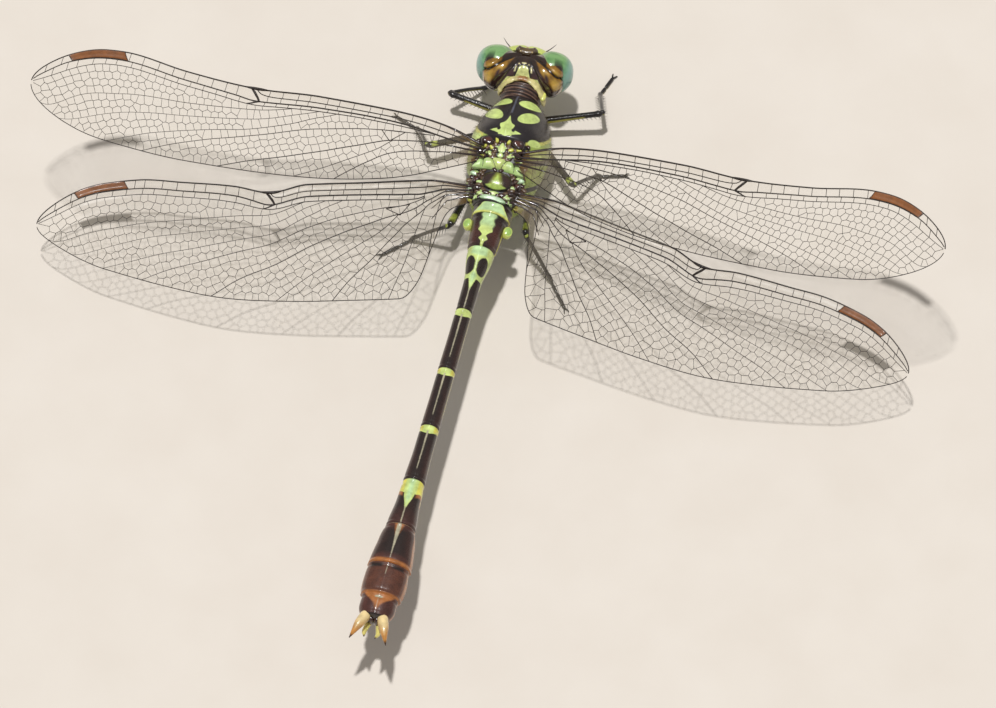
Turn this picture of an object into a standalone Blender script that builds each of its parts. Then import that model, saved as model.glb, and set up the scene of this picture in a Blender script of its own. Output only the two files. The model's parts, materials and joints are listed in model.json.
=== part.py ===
"""A male clubtail dragonfly at rest on its six feet, as a still, life-size model.

Frame: metres, +X to the animal's right, +Y towards its head, +Z up. The floor is Z = 0, and the
middle of the model's outer box stands over the origin. Sizes below are in millimetres, in the
body's own frame, whose origin is on the floor under the wing bases; MM turns them into metres,
and the empty called dragonfly carries the whole body to its place.
"""

import math

import bmesh
import bpy
import numpy as np
from mathutils import Matrix, Vector

MM = 0.001

# Driving dimensions
BODY_PLACE = (0.02, 12.46)      # shift that brings the middle of the outer box over the origin
FIT_GAP = 0.06                  # clearance between neighbouring pieces
AXIS_X = 0.12                   # the body's middle line in its own frame

HEAD_WIDTH = 7.05               # across both eyes
HEAD_CENTRE = (-0.27, 10.00, 4.35)
HEAD_YAW = 4.7                  # degrees, nose towards the left
HEAD_PITCH = -12.0              # degrees, nose down
EYE_RADII = (1.52, 1.30, 1.62)
EYE_FORWARD = 0.30
EYE_RISE = 0.25
CAPSULE_RADII = (3.02, 1.05, 1.50)
CAPSULE_CENTRE = (0.0, -0.35, 0.08)
FACE_RADII = (1.42, 1.00, 1.15)
FACE_CENTRE = (0.0, 1.02, 0.05)
MOUTH_RADII = (1.40, 0.95, 0.92)
MOUTH_CENTRE = (0.0, 0.72, -1.22)
ANTENNA_PATH = ((0.60, 1.00, 0.98), (1.00, 1.55, 0.72), (1.50, 2.20, 0.52), (1.92, 2.86, 0.46))
ANTENNA_RADII = (0.30, 0.27, 0.26, 0.26)

ABDOMEN_START = (0.32, -1.98, 5.00)
ABDOMEN_YAW = 0.75              # degrees that the tail swings to the left
TAIL_LENGTH = 34.6              # first to tenth segment, without the claspers
AURICLE_RADII = (0.40, 0.50, 0.42)
AURICLE_CENTRE = (1.38, 0.30, 0.26)  # out to the side, share of the second ring, up

# Upper and lower claspers: paths from the last ring's end as (out, back, up), then radii
CERCUS_PATH = ((0.66, 0.0, 0.32), (0.80, 0.58, 0.34), (1.02, 1.25, 0.29), (1.26, 1.92, 0.20))
CERCUS_RADII = (0.40, 0.42, 0.34, 0.26)
EPIPROCT_PATH = ((0.34, 0.0, -0.42), (0.44, 0.65, -0.44), (0.34, 1.25, -0.30))
EPIPROCT_RADII = (0.30, 0.29, 0.25)
CLASPER_GAP = 0.02

WING_THICKNESS = 0.50
WING_BANDS = 5                  # places across a wing, from its leading to its trailing edge
WING_ROOT_SHARES = (0.0, 0.03, 0.06, 0.085, 0.11, 0.14, 0.17)
WING_FIELD_START = 0.23
WING_FIELD_COUNT = 8
WING_TIP_TURNS = (22.0, 42.0, 58.0, 72.0, 83.0)  # degrees round the tip's quarter ellipse
LEG_RADIUS = 0.26               # of a shin; thighs are up to half as thick again
FOOT_RADIUS = 0.30
FOOT_RISE = 0.24                # height of a foot's middle line, so that its sole is cut flat

ANKLE_LIFT = 0.12               # how far a shin's end stands above the foot's middle line

# Name, length, then half width and half height at its front, middle and rear end
SEGMENTS = (
    ("abdomen_s1", 0.88, (1.40, 1.28), (1.42, 1.32), (1.36, 1.32)),
    ("abdomen_s2", 2.67, (1.30, 1.30), (1.19, 1.28), (1.02, 1.18)),
    ("abdomen_s3", 5.10, (0.96, 1.12), (0.64, 0.78), (0.59, 0.66)),
    ("abdomen_s4", 5.02, (0.60, 0.66), (0.61, 0.64), (0.64, 0.66)),
    ("abdomen_s5", 4.86, (0.63, 0.66), (0.65, 0.66), (0.68, 0.68)),
    ("abdomen_s6", 4.60, (0.67, 0.68), (0.70, 0.70), (0.79, 0.78)),
    ("abdomen_s7", 3.85, (0.76, 0.78), (0.88, 0.84), (1.06, 0.96)),
    ("abdomen_s8", 3.35, (1.06, 0.98), (1.36, 1.08), (1.52, 1.10)),
    ("abdomen_s9", 2.50, (1.48, 1.10), (1.54, 1.08), (1.40, 1.02)),
    ("abdomen_s10", 1.76, (1.30, 0.98), (1.30, 0.94), (1.10, 0.82)),
)

# Distance along the body, half width, top and underside of the winged thorax
THORAX = (
    (7.72, 1.22, 5.15, 3.40),
    (7.35, 1.66, 5.45, 2.50),
    (6.40, 2.28, 5.95, 1.85),
    (5.10, 2.74, 6.50, 1.60),
    (3.80, 2.86, 6.95, 1.55),
    (2.40, 2.72, 6.88, 1.62),
    (0.90, 2.45, 6.62, 1.90),
    (-0.60, 2.05, 6.42, 2.45),
    (-1.92, 1.36, 6.22, 3.50),
)

# The same for the first ring of the thorax and the neck
PROTHORAX = (
    (9.30, 0.55, 4.80, 3.70),
    (8.95, 0.80, 5.10, 3.20),
    (8.70, 1.20, 5.38, 2.70),
    (8.40, 1.50, 5.46, 2.30),
    (8.12, 1.40, 5.26, 2.15),
    (7.92, 1.48, 5.38, 2.25),
    (7.62, 1.20, 5.20, 2.90),
)

# Wings: share of the span, and how far the edge lies behind the wing's axis
FRONT_WING = {
    "span": 32.5,
    "leading": ((0.0, -0.55), (0.06, -1.25), (0.20, -1.85), (0.36, -1.92), (0.50, -1.66),
                (0.66, -2.05), (0.80, -2.75), (0.92, -2.25), (1.0, -1.55)),
    "trailing": ((0.0, 1.00), (0.07, 2.05), (0.16, 3.30), (0.30, 4.40), (0.48, 5.00),
                 (0.64, 5.10), (0.80, 4.70), (0.92, 4.05), (1.0, 3.60)),
    "tip_start": 0.84,
    "tip_middle": 0.95,
    "camber": 0.25,
}
HIND_WING = {
    "span": 31.0,
    "leading": ((0.0, -0.45), (0.09, -0.95), (0.23, -1.02), (0.37, -1.12), (0.455, -0.62),
                (0.54, -1.28), (0.66, -1.82), (0.76, -2.20), (0.90, -1.80), (1.0, -1.10)),
    "trailing": ((0.0, 0.95), (0.05, 1.70), (0.085, 4.20), (0.12, 7.00), (0.165, 8.40),
                 (0.28, 8.32), (0.42, 8.15), (0.58, 7.55), (0.72, 6.25), (0.86, 4.60),
                 (1.0, 2.90)),
    "tip_start": 0.84,
    "tip_middle": 1.00,
    "camber": 0.30,
}

# Wing name, pattern, side, base, then sweep, rise and pitch in degrees
WINGS = (
    ("wing_front_left", FRONT_WING, -1, (-1.74, 1.92, 6.55), 7.8, 10.2, 0.0),
    ("wing_front_right", FRONT_WING, 1, (1.50, 1.85, 6.55), 5.0, 10.2, 0.0),
    ("wing_hind_left", HIND_WING, -1, (-1.73, -1.22, 5.85), 14.5, -4.0, 4.0),
    ("wing_hind_right", HIND_WING, 1, (1.90, -1.03, 5.85), 11.0, -2.8, 0.0),
)

# Legs: name, thigh radius, then hip, trochanter, knee, ankle and claw tip
LEGS = (
    ("leg_front_left", 0.33, (-0.65, 7.95, 2.60), (-1.25, 8.00, 1.72), (-5.42, 8.35, 2.40),
     (-3.15, 10.61), (-2.80, 11.91)),
    ("leg_front_right", 0.33, (0.75, 7.95, 2.60), (1.30, 7.95, 1.72), (5.72, 9.20, 2.50),
     (4.88, 12.00), (5.45, 13.62)),
    ("leg_middle_left", 0.37, (-0.90, 6.35, 2.30), (-1.60, 6.45, 1.45), (-5.92, 3.78, 2.35),
     (-7.27, 6.18), (-8.98, 6.87)),
    ("leg_middle_right", 0.37, (1.10, 6.35, 2.30), (1.75, 6.30, 1.45), (5.02, 2.95, 2.35),
     (6.38, 5.35), (8.15, 5.86)),
    ("leg_hind_left", 0.39, (-0.95, 4.60, 2.10), (-1.65, 4.30, 1.35), (-2.72, -2.85, 3.20),
     (-5.51, -2.90), (-7.31, -4.59)),
    ("leg_hind_right", 0.39, (1.15, 4.60, 2.10), (1.80, 4.30, 1.35), (2.72, -2.20, 3.05),
     (5.06, -3.98), (6.50, -5.88)),
)

# A tube's end: distance in from its tip and ring radius there, both as shares of its radius
END_ROUNDING = ((0.0, 0.55), (0.45, 1.0))

# Colour, roughness and metallic value of each kind of surface
FINISHES = {
    "dark_shell": ((0.030, 0.018, 0.012), 0.35, 0.0),
    "green_shell": ((0.36, 0.50, 0.13), 0.45, 0.0),
    "brown_shell": ((0.110, 0.035, 0.022), 0.38, 0.0),
    "ochre_shell": ((0.32, 0.16, 0.025), 0.30, 0.0),
    "pale_shell": ((0.62, 0.45, 0.16), 0.40, 0.0),
    "eye_glass": ((0.075, 0.32, 0.14), 0.12, 0.0),
    "wing_film": ((0.50, 0.44, 0.30), 0.20, 0.0),
}


def clear_scene():
    """Remove what the scene holds before the model is made."""
    for thing in list(bpy.data.objects):
        bpy.data.objects.remove(thing, do_unlink=True)


def finish(kind, part_name):
    """A Principled material of one kind for one part."""
    colour, roughness, metallic = FINISHES[kind]
    material = bpy.data.materials.new(part_name + "_" + kind)
    material.use_nodes = True
    shader = material.node_tree.nodes["Principled BSDF"]
    shader.inputs["Base Color"].default_value = (*colour, 1.0)
    shader.inputs["Roughness"].default_value = roughness
    shader.inputs["Metallic"].default_value = metallic
    return material


def empty(name, location, rotation=(0.0, 0.0, 0.0), parent=None):
    """A named carrier that other objects hang on; location in millimetres."""
    carrier = bpy.data.objects.new(name, None)
    carrier.location = Vector(location) * MM
    carrier.rotation_euler = rotation
    carrier.parent = parent
    bpy.context.collection.objects.link(carrier)
    return carrier


def add_object(name, mesh, parent, kind=None):
    """Link a mesh as an object; with no kind of finish it is a hidden cutter."""
    thing = bpy.data.objects.new(name, mesh)
    thing.parent = parent
    bpy.context.collection.objects.link(thing)
    if kind is None:
        thing.hide_render = True
        thing.display_type = "WIRE"
    else:
        mesh.materials.append(finish(kind, name))
        mesh.shade_smooth()
        mesh.set_sharp_from_angle(angle=math.radians(40.0))
    return thing


def make_room(piece, cutter):
    """Cut the space of a neighbour's grown copy out of a piece."""
    cut = piece.modifiers.new("room_for_" + cutter.name, "BOOLEAN")
    cut.operation = "DIFFERENCE"
    cut.solver = "EXACT"
    cut.object = cutter


def eased(stations, at):
    """Read rows of numbers along their first column with a smooth, never overshooting curve.

    Each stretch is a cubic whose slopes at its ends are the mean of the two neighbouring
    slopes where both have one sign, and level where they differ.
    """
    table = np.array(stations, dtype=float)
    if table[0, 0] > table[-1, 0]:
        table = table[::-1]
    place, rows = table[:, 0], table[:, 1:]
    slope = np.diff(rows, axis=0) / np.diff(place)[:, None]
    inner = np.where(slope[:-1] * slope[1:] > 0.0, 0.5 * (slope[:-1] + slope[1:]), 0.0)
    limit = 2.5 * np.minimum(abs(slope[:-1]), abs(slope[1:]))
    inner = np.clip(inner, -limit, limit)
    ends = np.vstack([slope[:1], inner, slope[-1:]])
    at = np.clip(np.asarray(at, dtype=float), place[0], place[-1])
    cell = np.clip(np.searchsorted(place, at, side="right") - 1, 0, len(place) - 2)
    width = (place[cell + 1] - place[cell])[:, None]
    share = ((at - place[cell]) / (place[cell + 1] - place[cell]))[:, None]
    rise = rows[cell + 1] - rows[cell]
    start, stop = ends[cell] * width, ends[cell + 1] * width
    bend = share * (1.0 - share)
    return (rows[cell] + rise * share
            + bend * ((start - rise) * (1.0 - share) - (stop - rise) * share))


def skin(name, rings):
    """Join rings of points, all of one count, into a closed mesh with a fan at each end."""
    rings = [np.asarray(ring) * MM for ring in rings]
    shape = bmesh.new()
    loops = [[shape.verts.new(point) for point in ring] for ring in rings]
    count = len(loops[0])
    for near, far in zip(loops, loops[1:]):
        for i in range(count):
            j = (i + 1) % count
            shape.faces.new((near[i], near[j], far[j], far[i]))
    shape.faces.new(list(reversed(loops[0])))
    shape.faces.new(loops[-1])
    bmesh.ops.recalc_face_normals(shape, faces=shape.faces)
    bmesh.ops.triangulate(shape, faces=shape.faces)
    mesh = bpy.data.meshes.new(name)
    shape.to_mesh(mesh)
    shape.free()
    return mesh


def oval(sides, half_width, low, high, power=2.0, taper=0.0):
    """Points of an upright oval as (across, up).

    The power squares the corners of the ellipse, and the taper narrows its top and widens
    its foot by that share.
    """
    turn = (np.arange(sides) + 0.5) * 2.0 * math.pi / sides
    across = np.sign(np.cos(turn)) * abs(np.cos(turn)) ** (2.0 / power)
    up = np.sign(np.sin(turn)) * abs(np.sin(turn)) ** (2.0 / power)
    return np.stack([half_width * across * (1.0 - taper * up),
                     0.5 * (high + low) + 0.5 * (high - low) * up], axis=1)


def trunk(name, stations, ring_count, sides, power, taper, grow=0.0):
    """Skin upright ovals set along the body's length, a little rounded at both ends."""
    places = np.array([row[0] for row in stations])
    turn = np.linspace(0.0, math.pi, ring_count)
    along = 0.5 * (places.max() + places.min()) - 0.5 * np.ptp(places) * np.cos(turn)
    rings = []
    for y, (half_width, high, low) in zip(along, eased(stations, along)):
        outline = oval(sides, half_width + grow, low - grow, high + grow, power, taper)
        rings.append([(AXIS_X + x, y, z) for x, z in outline])
    return skin(name, rings)


def tube(name, path, radii, sides, flatten=None, grow=0.0):
    """Carry a many-sided ring along a path with rounded ends.

    Each ring lies square to the mean direction of the path there. Where flatten is given,
    no point goes below that height. Grow adds to the radii and to both ends.
    """
    path = [Vector(point) for point in path]
    steps = [(b - a).normalized() for a, b in zip(path, path[1:])]
    path[0] = path[0] - steps[0] * grow
    path[-1] = path[-1] + steps[-1] * grow
    radii = [radius + grow for radius in radii]
    means = [steps[0]] + [(a + b).normalized() for a, b in zip(steps, steps[1:])] + [steps[-1]]
    turn = (np.arange(sides) + 0.5) * 2.0 * math.pi / sides
    stops = [(path[0] + steps[0] * radii[0] * lift, means[0], radii[0] * share)
             for lift, share in END_ROUNDING]
    stops += list(zip(path[1:-1], means[1:-1], radii[1:-1]))
    stops += [(path[-1] - steps[-1] * radii[-1] * lift, means[-1], radii[-1] * share)
              for lift, share in reversed(END_ROUNDING)]
    rings = []
    for centre, heading, radius in stops:
        side = heading.cross(Vector((0.0, 0.0, 1.0))).normalized()
        top = side.cross(heading)
        ring = [centre + side * radius * math.cos(a) + top * radius * math.sin(a) for a in turn]
        if flatten is not None:
            for point in ring:
                point.z = max(point.z, flatten)
        rings.append([tuple(point) for point in ring])
    return skin(name, rings)


def ball(name, centre, radii, around, up, grow=0.0):
    """An ellipsoid from a sphere with its poles above and below."""
    shape = bmesh.new()
    bmesh.ops.create_uvsphere(shape, u_segments=around, v_segments=up, radius=1.0)
    size = Matrix.Diagonal(Vector([(radius + grow) * MM for radius in radii]).to_4d())
    bmesh.ops.transform(shape, matrix=Matrix.Translation(Vector(centre) * MM) @ size,
                        verts=shape.verts)
    bmesh.ops.triangulate(shape, faces=shape.faces)
    mesh = bpy.data.meshes.new(name)
    shape.to_mesh(mesh)
    shape.free()
    return mesh


def build_head(body):
    """Capsule, eyes, face, mouth and feelers on the head's own carrier.

    Each makes room for those before it, so the eyes sit on the capsule's front and sides.
    """
    carrier = empty("head_carrier", HEAD_CENTRE,
                    (math.radians(HEAD_PITCH), 0.0, math.radians(HEAD_YAW)), body)
    eye_side = 0.5 * HEAD_WIDTH - EYE_RADII[0]
    balls = (
        ("head", CAPSULE_CENTRE, CAPSULE_RADII, 24, 12, "ochre_shell"),
        ("eye_left", (-eye_side, EYE_FORWARD, EYE_RISE), EYE_RADII, 20, 12, "eye_glass"),
        ("eye_right", (eye_side, EYE_FORWARD, EYE_RISE), EYE_RADII, 20, 12, "eye_glass"),
        ("face", FACE_CENTRE, FACE_RADII, 16, 10, "green_shell"),
        ("mouth", MOUTH_CENTRE, MOUTH_RADII, 16, 10, "green_shell"),
    )
    rooms = []
    for name, centre, radii, around, up, kind in balls:
        piece = add_object(name, ball(name, centre, radii, around, up), carrier, kind)
        for cutter in rooms:
            make_room(piece, cutter)
        room = ball(name + "_room", centre, radii, around, up, FIT_GAP)
        rooms.append(add_object(name + "_room", room, carrier))

    for side_name, side in (("left", -1), ("right", 1)):
        name = "antenna_" + side_name
        path = [(side * x, y, z) for x, y, z in ANTENNA_PATH]
        feeler = add_object(name, tube(name, path, ANTENNA_RADII, 6), carrier, "dark_shell")
        for cutter in rooms[:-1]:
            make_room(feeler, cutter)
    return rooms[0]


def build_thorax(body, head_room):
    """The neck with the first ring, and the large ring block that carries the wings."""
    add_object("thorax", trunk("thorax", THORAX, 15, 20, 2.35, 0.16), body, "green_shell")
    room = trunk("thorax_room", THORAX, 15, 20, 2.35, 0.16, FIT_GAP)
    thorax_room = add_object("thorax_room", room, body)
    neck = add_object("prothorax", trunk("prothorax", PROTHORAX, 9, 14, 2.2, 0.0), body,
                      "dark_shell")
    room = trunk("prothorax_room", PROTHORAX, 9, 14, 2.2, 0.0, FIT_GAP)
    neck_room = add_object("prothorax_room", room, body)
    make_room(neck, head_room)
    make_room(neck, thorax_room)
    return thorax_room, neck_room


def segment_mesh(name, start, length, front, middle, rear):
    """One ring of the tail: ovals along its length, with a low collar at each end."""
    stations = ((0.0, front[0] * 0.90, front[1] * 0.90), (0.06, front[0], front[1]),
                (0.50, middle[0], middle[1]), (0.94, rear[0], rear[1]),
                (1.0, rear[0] * 0.92, rear[1] * 0.92))
    shares = (0.0, 0.06, 0.26, 0.50, 0.74, 0.94, 1.0)
    rings = []
    for share, (half_width, half_height) in zip(shares, eased(stations, shares)):
        outline = oval(12, half_width, -half_height, half_height, 2.2)
        rings.append([(x, -start - length * share, z) for x, z in outline])
    return skin(name, rings)


def build_abdomen(body):
    """Ten rings in a row, the ear-like knobs on the second and the claspers on the tenth."""
    carrier = empty("abdomen_carrier", ABDOMEN_START, (0.0, 0.0, -math.radians(ABDOMEN_YAW)),
                    body)
    scale = TAIL_LENGTH / sum(row[1] for row in SEGMENTS)
    start = 0.0
    places = {}
    for name, length, front, middle, rear in SEGMENTS:
        length *= scale
        mesh = segment_mesh(name, start, length - FIT_GAP, front, middle, rear)
        kind = "brown_shell" if name in ("abdomen_s9", "abdomen_s10") else "dark_shell"
        add_object(name, mesh, carrier, kind)
        places[name] = (start, length)
        start += length

    second_start, second_length = places["abdomen_s2"]
    second_room = segment_mesh("abdomen_s2_room", second_start - FIT_GAP,
                               second_length + FIT_GAP,
                               *[(w + FIT_GAP, h + FIT_GAP) for w, h in SEGMENTS[1][2:]])
    second_room = add_object("abdomen_s2_room", second_room, carrier)
    out, share, up = AURICLE_CENTRE
    for side_name, side in (("left", -1), ("right", 1)):
        name = "auricle_" + side_name
        centre = (side * out, -second_start - share * second_length, up)
        knob = add_object(name, ball(name, centre, AURICLE_RADII, 10, 7), carrier,
                          "green_shell")
        make_room(knob, second_room)

    tail = start + CLASPER_GAP
    claspers = (("cercus", CERCUS_PATH, CERCUS_RADII), ("epiproct", EPIPROCT_PATH, EPIPROCT_RADII))
    for kind_name, line, radii in claspers:
        for side_name, side in (("left", -1), ("right", 1)):
            name = kind_name + "_" + side_name
            path = [(side * x, -tail - back, z) for x, back, z in line]
            add_object(name, tube(name, path, radii, 8), carrier, "pale_shell")


def wing_mesh(name, pattern, side, sweep, rise, pitch):
    """A plate of even thickness inside a wing's outline, gently arched from edge to edge.

    The outline's two edges are smooth curves along the span. Past the tip's start both are
    drawn towards the tip's middle by a quarter ellipse.
    """
    span, tip_start = pattern["span"], pattern["tip_start"]
    share = np.concatenate([np.array(WING_ROOT_SHARES),
                            np.linspace(WING_FIELD_START, tip_start, WING_FIELD_COUNT),
                            tip_start + (1.0 - tip_start)
                            * np.sin(np.radians(np.array(WING_TIP_TURNS)))])
    front = eased(pattern["leading"], share)[:, 0]
    back = eased(pattern["trailing"], share)[:, 0]
    past = np.clip((share - tip_start) / (1.0 - tip_start), 0.0, 1.0)
    closing = np.sqrt(1.0 - past ** 2)
    front = pattern["tip_middle"] + (front - pattern["tip_middle"]) * closing
    back = pattern["tip_middle"] + (back - pattern["tip_middle"]) * closing

    outward = Vector((side * math.cos(math.radians(rise)) * math.cos(math.radians(sweep)),
                      -math.cos(math.radians(rise)) * math.sin(math.radians(sweep)),
                      math.sin(math.radians(rise))))
    backward = Vector((0.0, -1.0, 0.0))
    backward = (backward - outward * backward.dot(outward)).normalized()
    backward = Matrix.Rotation(side * math.radians(pitch), 3, outward) @ backward
    upward = outward.cross(backward) * -side

    across = np.linspace(0.0, 1.0, WING_BANDS)
    rings = []
    for place, fore, aft in zip(share, front, back):
        chord = fore + (aft - fore) * across
        arch = pattern["camber"] * (1.0 - (2.0 * across - 1.0) ** 2) * math.sqrt(1.0 - place)
        top = [(c, a + 0.5 * WING_THICKNESS) for c, a in zip(chord, arch)]
        under = [(c, a - 0.5 * WING_THICKNESS) for c, a in zip(chord, arch)]
        rings.append([tuple(outward * span * place + backward * c + upward * h)
                      for c, h in top + under[::-1]])
    return skin(name, rings)


def build_wings(body, thorax_room):
    """Four wings whose roots are fitted to the thorax."""
    for name, pattern, side, base, sweep, rise, pitch in WINGS:
        carrier = empty(name + "_root", base, parent=body)
        wing = add_object(name, wing_mesh(name, pattern, side, sweep, rise, pitch), carrier,
                          "wing_film")
        make_room(wing, thorax_room)


def build_legs(body, rooms):
    """Six legs, each a thigh with its hip, a shin, and a foot with a flat sole."""
    for name, thigh, hip, trochanter, knee, ankle, tip in LEGS:
        hip, trochanter, knee = Vector(hip), Vector(trochanter), Vector(knee)
        ankle = Vector((*ankle, FOOT_RISE + ANKLE_LIFT))
        tip = Vector((*tip, FOOT_RISE))
        shin = (ankle - knee).normalized()
        thigh_line = (knee - trochanter).normalized()
        heel = Vector((ankle.x, ankle.y, FOOT_RISE))
        knee_start = knee - thigh_line * thigh * 0.5
        limbs = {
            "femur": ((hip, trochanter, trochanter.lerp(knee, 0.45), knee),
                      (thigh * 1.25, thigh * 1.2, thigh, thigh * 0.86), None),
            "tibia": ((knee_start, knee_start.lerp(ankle, 0.5), ankle - shin * 0.3),
                      (LEG_RADIUS * 1.05, LEG_RADIUS, LEG_RADIUS), None),
            "tarsus": ((heel, heel.lerp(tip, 0.5), tip),
                       (FOOT_RADIUS, FOOT_RADIUS, FOOT_RADIUS * 0.95), 0.0),
        }
        above = list(rooms)
        for part_name, (path, radii, sole) in limbs.items():
            full_name = name + "_" + part_name
            limb = add_object(full_name, tube(full_name, path, radii, 8, sole), body,
                              "dark_shell")
            for cutter in above:
                make_room(limb, cutter)
            room = tube(full_name + "_room", path, radii, 8, None, FIT_GAP)
            above = [add_object(full_name + "_room", room, body)]


def main():
    """Build the whole animal."""
    clear_scene()
    body = empty("dragonfly", (*BODY_PLACE, 0.0))
    head_room = build_head(body)
    thorax_room, neck_room = build_thorax(body, head_room)
    build_abdomen(body)
    build_wings(body, thorax_room)
    build_legs(body, (thorax_room, neck_room))


main()
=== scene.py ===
"""Looks of a still, life-size male clubtail dragonfly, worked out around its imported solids.

Lengths in the classes are millimetres in the body's own frame: +X to the animal's right, +Y
towards its head, +Z up from the floor. The workbench turns them into metres at the place of the
packed thorax, so every piece follows the frame. A marking is a field: a number at each point,
in millimetres, positive inside it and negative outside, which the finish turns into paint.
"""

import json
import logging
import math
from dataclasses import dataclass, field
from enum import Enum
from typing import Optional, Sequence

import bpy
import numpy as np
from mathutils import Matrix, Vector, geometry

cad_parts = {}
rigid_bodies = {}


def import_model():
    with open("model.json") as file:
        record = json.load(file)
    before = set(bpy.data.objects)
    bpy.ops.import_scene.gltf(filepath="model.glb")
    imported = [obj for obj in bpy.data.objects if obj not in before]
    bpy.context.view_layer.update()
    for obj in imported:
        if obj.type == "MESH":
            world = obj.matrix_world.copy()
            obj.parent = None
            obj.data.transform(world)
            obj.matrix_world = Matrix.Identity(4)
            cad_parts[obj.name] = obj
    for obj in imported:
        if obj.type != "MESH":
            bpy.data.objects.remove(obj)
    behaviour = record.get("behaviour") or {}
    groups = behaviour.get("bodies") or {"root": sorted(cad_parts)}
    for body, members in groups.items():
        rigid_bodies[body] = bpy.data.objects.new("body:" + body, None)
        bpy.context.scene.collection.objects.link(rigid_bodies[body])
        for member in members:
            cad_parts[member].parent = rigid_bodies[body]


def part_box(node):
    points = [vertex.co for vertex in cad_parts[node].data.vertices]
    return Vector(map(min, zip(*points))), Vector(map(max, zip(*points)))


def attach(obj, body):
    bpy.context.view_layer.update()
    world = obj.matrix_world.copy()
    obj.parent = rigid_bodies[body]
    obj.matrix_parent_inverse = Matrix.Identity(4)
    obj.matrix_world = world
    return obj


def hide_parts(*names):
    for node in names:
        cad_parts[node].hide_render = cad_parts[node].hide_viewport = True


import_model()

MM = 0.001
BODY = "root"
SEED = 20250612
END_FANS = 2                   # middle points that close a row of rings
PATCH = 0.003                  # width of one hair's patch on the map OFBake
AXIS_X = 0.12                  # the body's middle line in its own frame
THORAX_MIDDLE = (AXIS_X, 2.9)  # middle of the thorax's outer box, along X and Y

log = logging.getLogger("dragonfly")

COLOUR = "NodeSocketColor"
NUMBER = "NodeSocketFloat"

Socket = bpy.types.NodeSocket
Array = np.ndarray
Faces = list[Array]
Shape = tuple[Array, Faces]            # vertices and face groups
Pair = tuple[float, float]
Triple = tuple[float, float, float]
Table = tuple[tuple[float, ...], ...]


class Slot(Enum):
    """The record's material slots."""

    DARK = "dark_shell"
    GREEN = "green_shell"
    BROWN = "brown_shell"
    OCHRE = "ochre_shell"
    PALE = "pale_shell"
    LEG = "leg_shell"
    EYE = "eye_lens"
    WING = "wing_membrane"


class Side(Enum):
    """The two sides of the body, with the sign of X there."""

    LEFT = -1
    RIGHT = 1

    @property
    def word(self) -> str:
        """The side's name as the nodes write it."""
        return self.name.lower()


@dataclass(frozen=True)
class Tone:
    """One colour in eight-bit display values."""

    red: float
    green: float
    blue: float

    def linear(self) -> tuple[float, float, float, float]:
        """The colour as linear light with full opacity, by the sRGB curve."""
        shares = np.array([self.red, self.green, self.blue]) / 255.0
        light = np.where(shares <= 0.04045, shares / 12.92, ((shares + 0.055) / 1.055) ** 2.4)
        return (*light.tolist(), 1.0)


# Curves, fields and surfaces as whole arrays

def eased(stations: Table, at: Array) -> Array:
    """Read a table along its first column with a smooth, never overshooting curve.

    Each stretch is a cubic; its slope at a row is the mean of the two neighbouring slopes
    where both have one sign, and level where they differ.

    Args:
        stations: Rows of a place and the values there, rising or falling.
        at: Places to read.

    Returns:
        The values, along one more axis.
    """
    table = np.array(stations, dtype=float)
    if table[0, 0] > table[-1, 0]:
        table = table[::-1]
    place, rows = table[:, 0], table[:, 1:]
    slope = np.diff(rows, axis=0) / np.diff(place)[:, None]
    inner = np.where(slope[:-1] * slope[1:] > 0.0, 0.5 * (slope[:-1] + slope[1:]), 0.0)
    limit = 2.5 * np.minimum(abs(slope[:-1]), abs(slope[1:]))
    inner = np.clip(inner, -limit, limit)
    ends = np.vstack([slope[:1], inner, slope[-1:]])
    at = np.clip(np.asarray(at, dtype=float), place[0], place[-1])
    cell = np.clip(np.searchsorted(place, at, side="right") - 1, 0, len(place) - 2)
    width = (place[cell + 1] - place[cell])[..., None]
    share = ((at - place[cell]) / (place[cell + 1] - place[cell]))[..., None]
    rise = rows[cell + 1] - rows[cell]
    start, stop = ends[cell] * width, ends[cell + 1] * width
    bend = share * (1.0 - share)
    ease = (start - rise) * (1.0 - share) - (stop - rise) * share
    return rows[cell] + rise * share + bend * ease


def spline(points: Sequence[Sequence[float]], count: int) -> Array:
    """A Catmull-Rom spline with its end stretches mirrored.

    Args:
        points: Places to pass through.
        count: How many points to give, spread evenly over the stretches.

    Returns:
        The curve's points.
    """
    known = np.asarray(points, dtype=float)
    known = np.vstack([2.0 * known[0] - known[1], known, 2.0 * known[-1] - known[-2]])
    at = np.linspace(0.0, len(known) - 3.0, count)
    cell = np.minimum(at.astype(int), len(known) - 4)
    share = (at - cell)[:, None]
    a, b, c, d = (known[cell + step] for step in range(4))
    return 0.5 * (2.0 * b + (c - a) * share + (2.0 * a - 5.0 * b + 4.0 * c - d) * share ** 2
                  + (3.0 * b - a - 3.0 * c + d) * share ** 3)


def columns(stations: Table, at: Array) -> Array:
    """Each value of an eased table as an array of its own."""
    return np.moveaxis(eased(stations, at), -1, 0)


def curve(stations: Table, at: Array) -> Array:
    """The one value of an eased table of pairs."""
    return eased(stations, at)[..., 0]


def even(count: int) -> Array:
    """Even steps from 0 to 1."""
    return np.linspace(0.0, 1.0, count)


def circle(count: int, start: float = 0.0) -> Array:
    """A row of even angles once round a circle."""
    return np.linspace(start, start + math.tau, count, endpoint=False)[None, :]


def folded(upper: Array, lower: Array) -> Array:
    """Rows of one face, and back along those of the other."""
    return np.concatenate([upper, lower[:, ::-1]], axis=1)


def spun(degrees: float, axis: str) -> Matrix:
    """A turn round one of the axes."""
    return Matrix.Rotation(math.radians(degrees), 4, axis)


def smooth_step(value: Array, low: float, high: float) -> Array:
    """Rise from 0 at low to 1 at high with level ends."""
    share = np.clip((value - low) / (high - low), 0.0, 1.0)
    return share * share * (3.0 - 2.0 * share)


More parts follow.
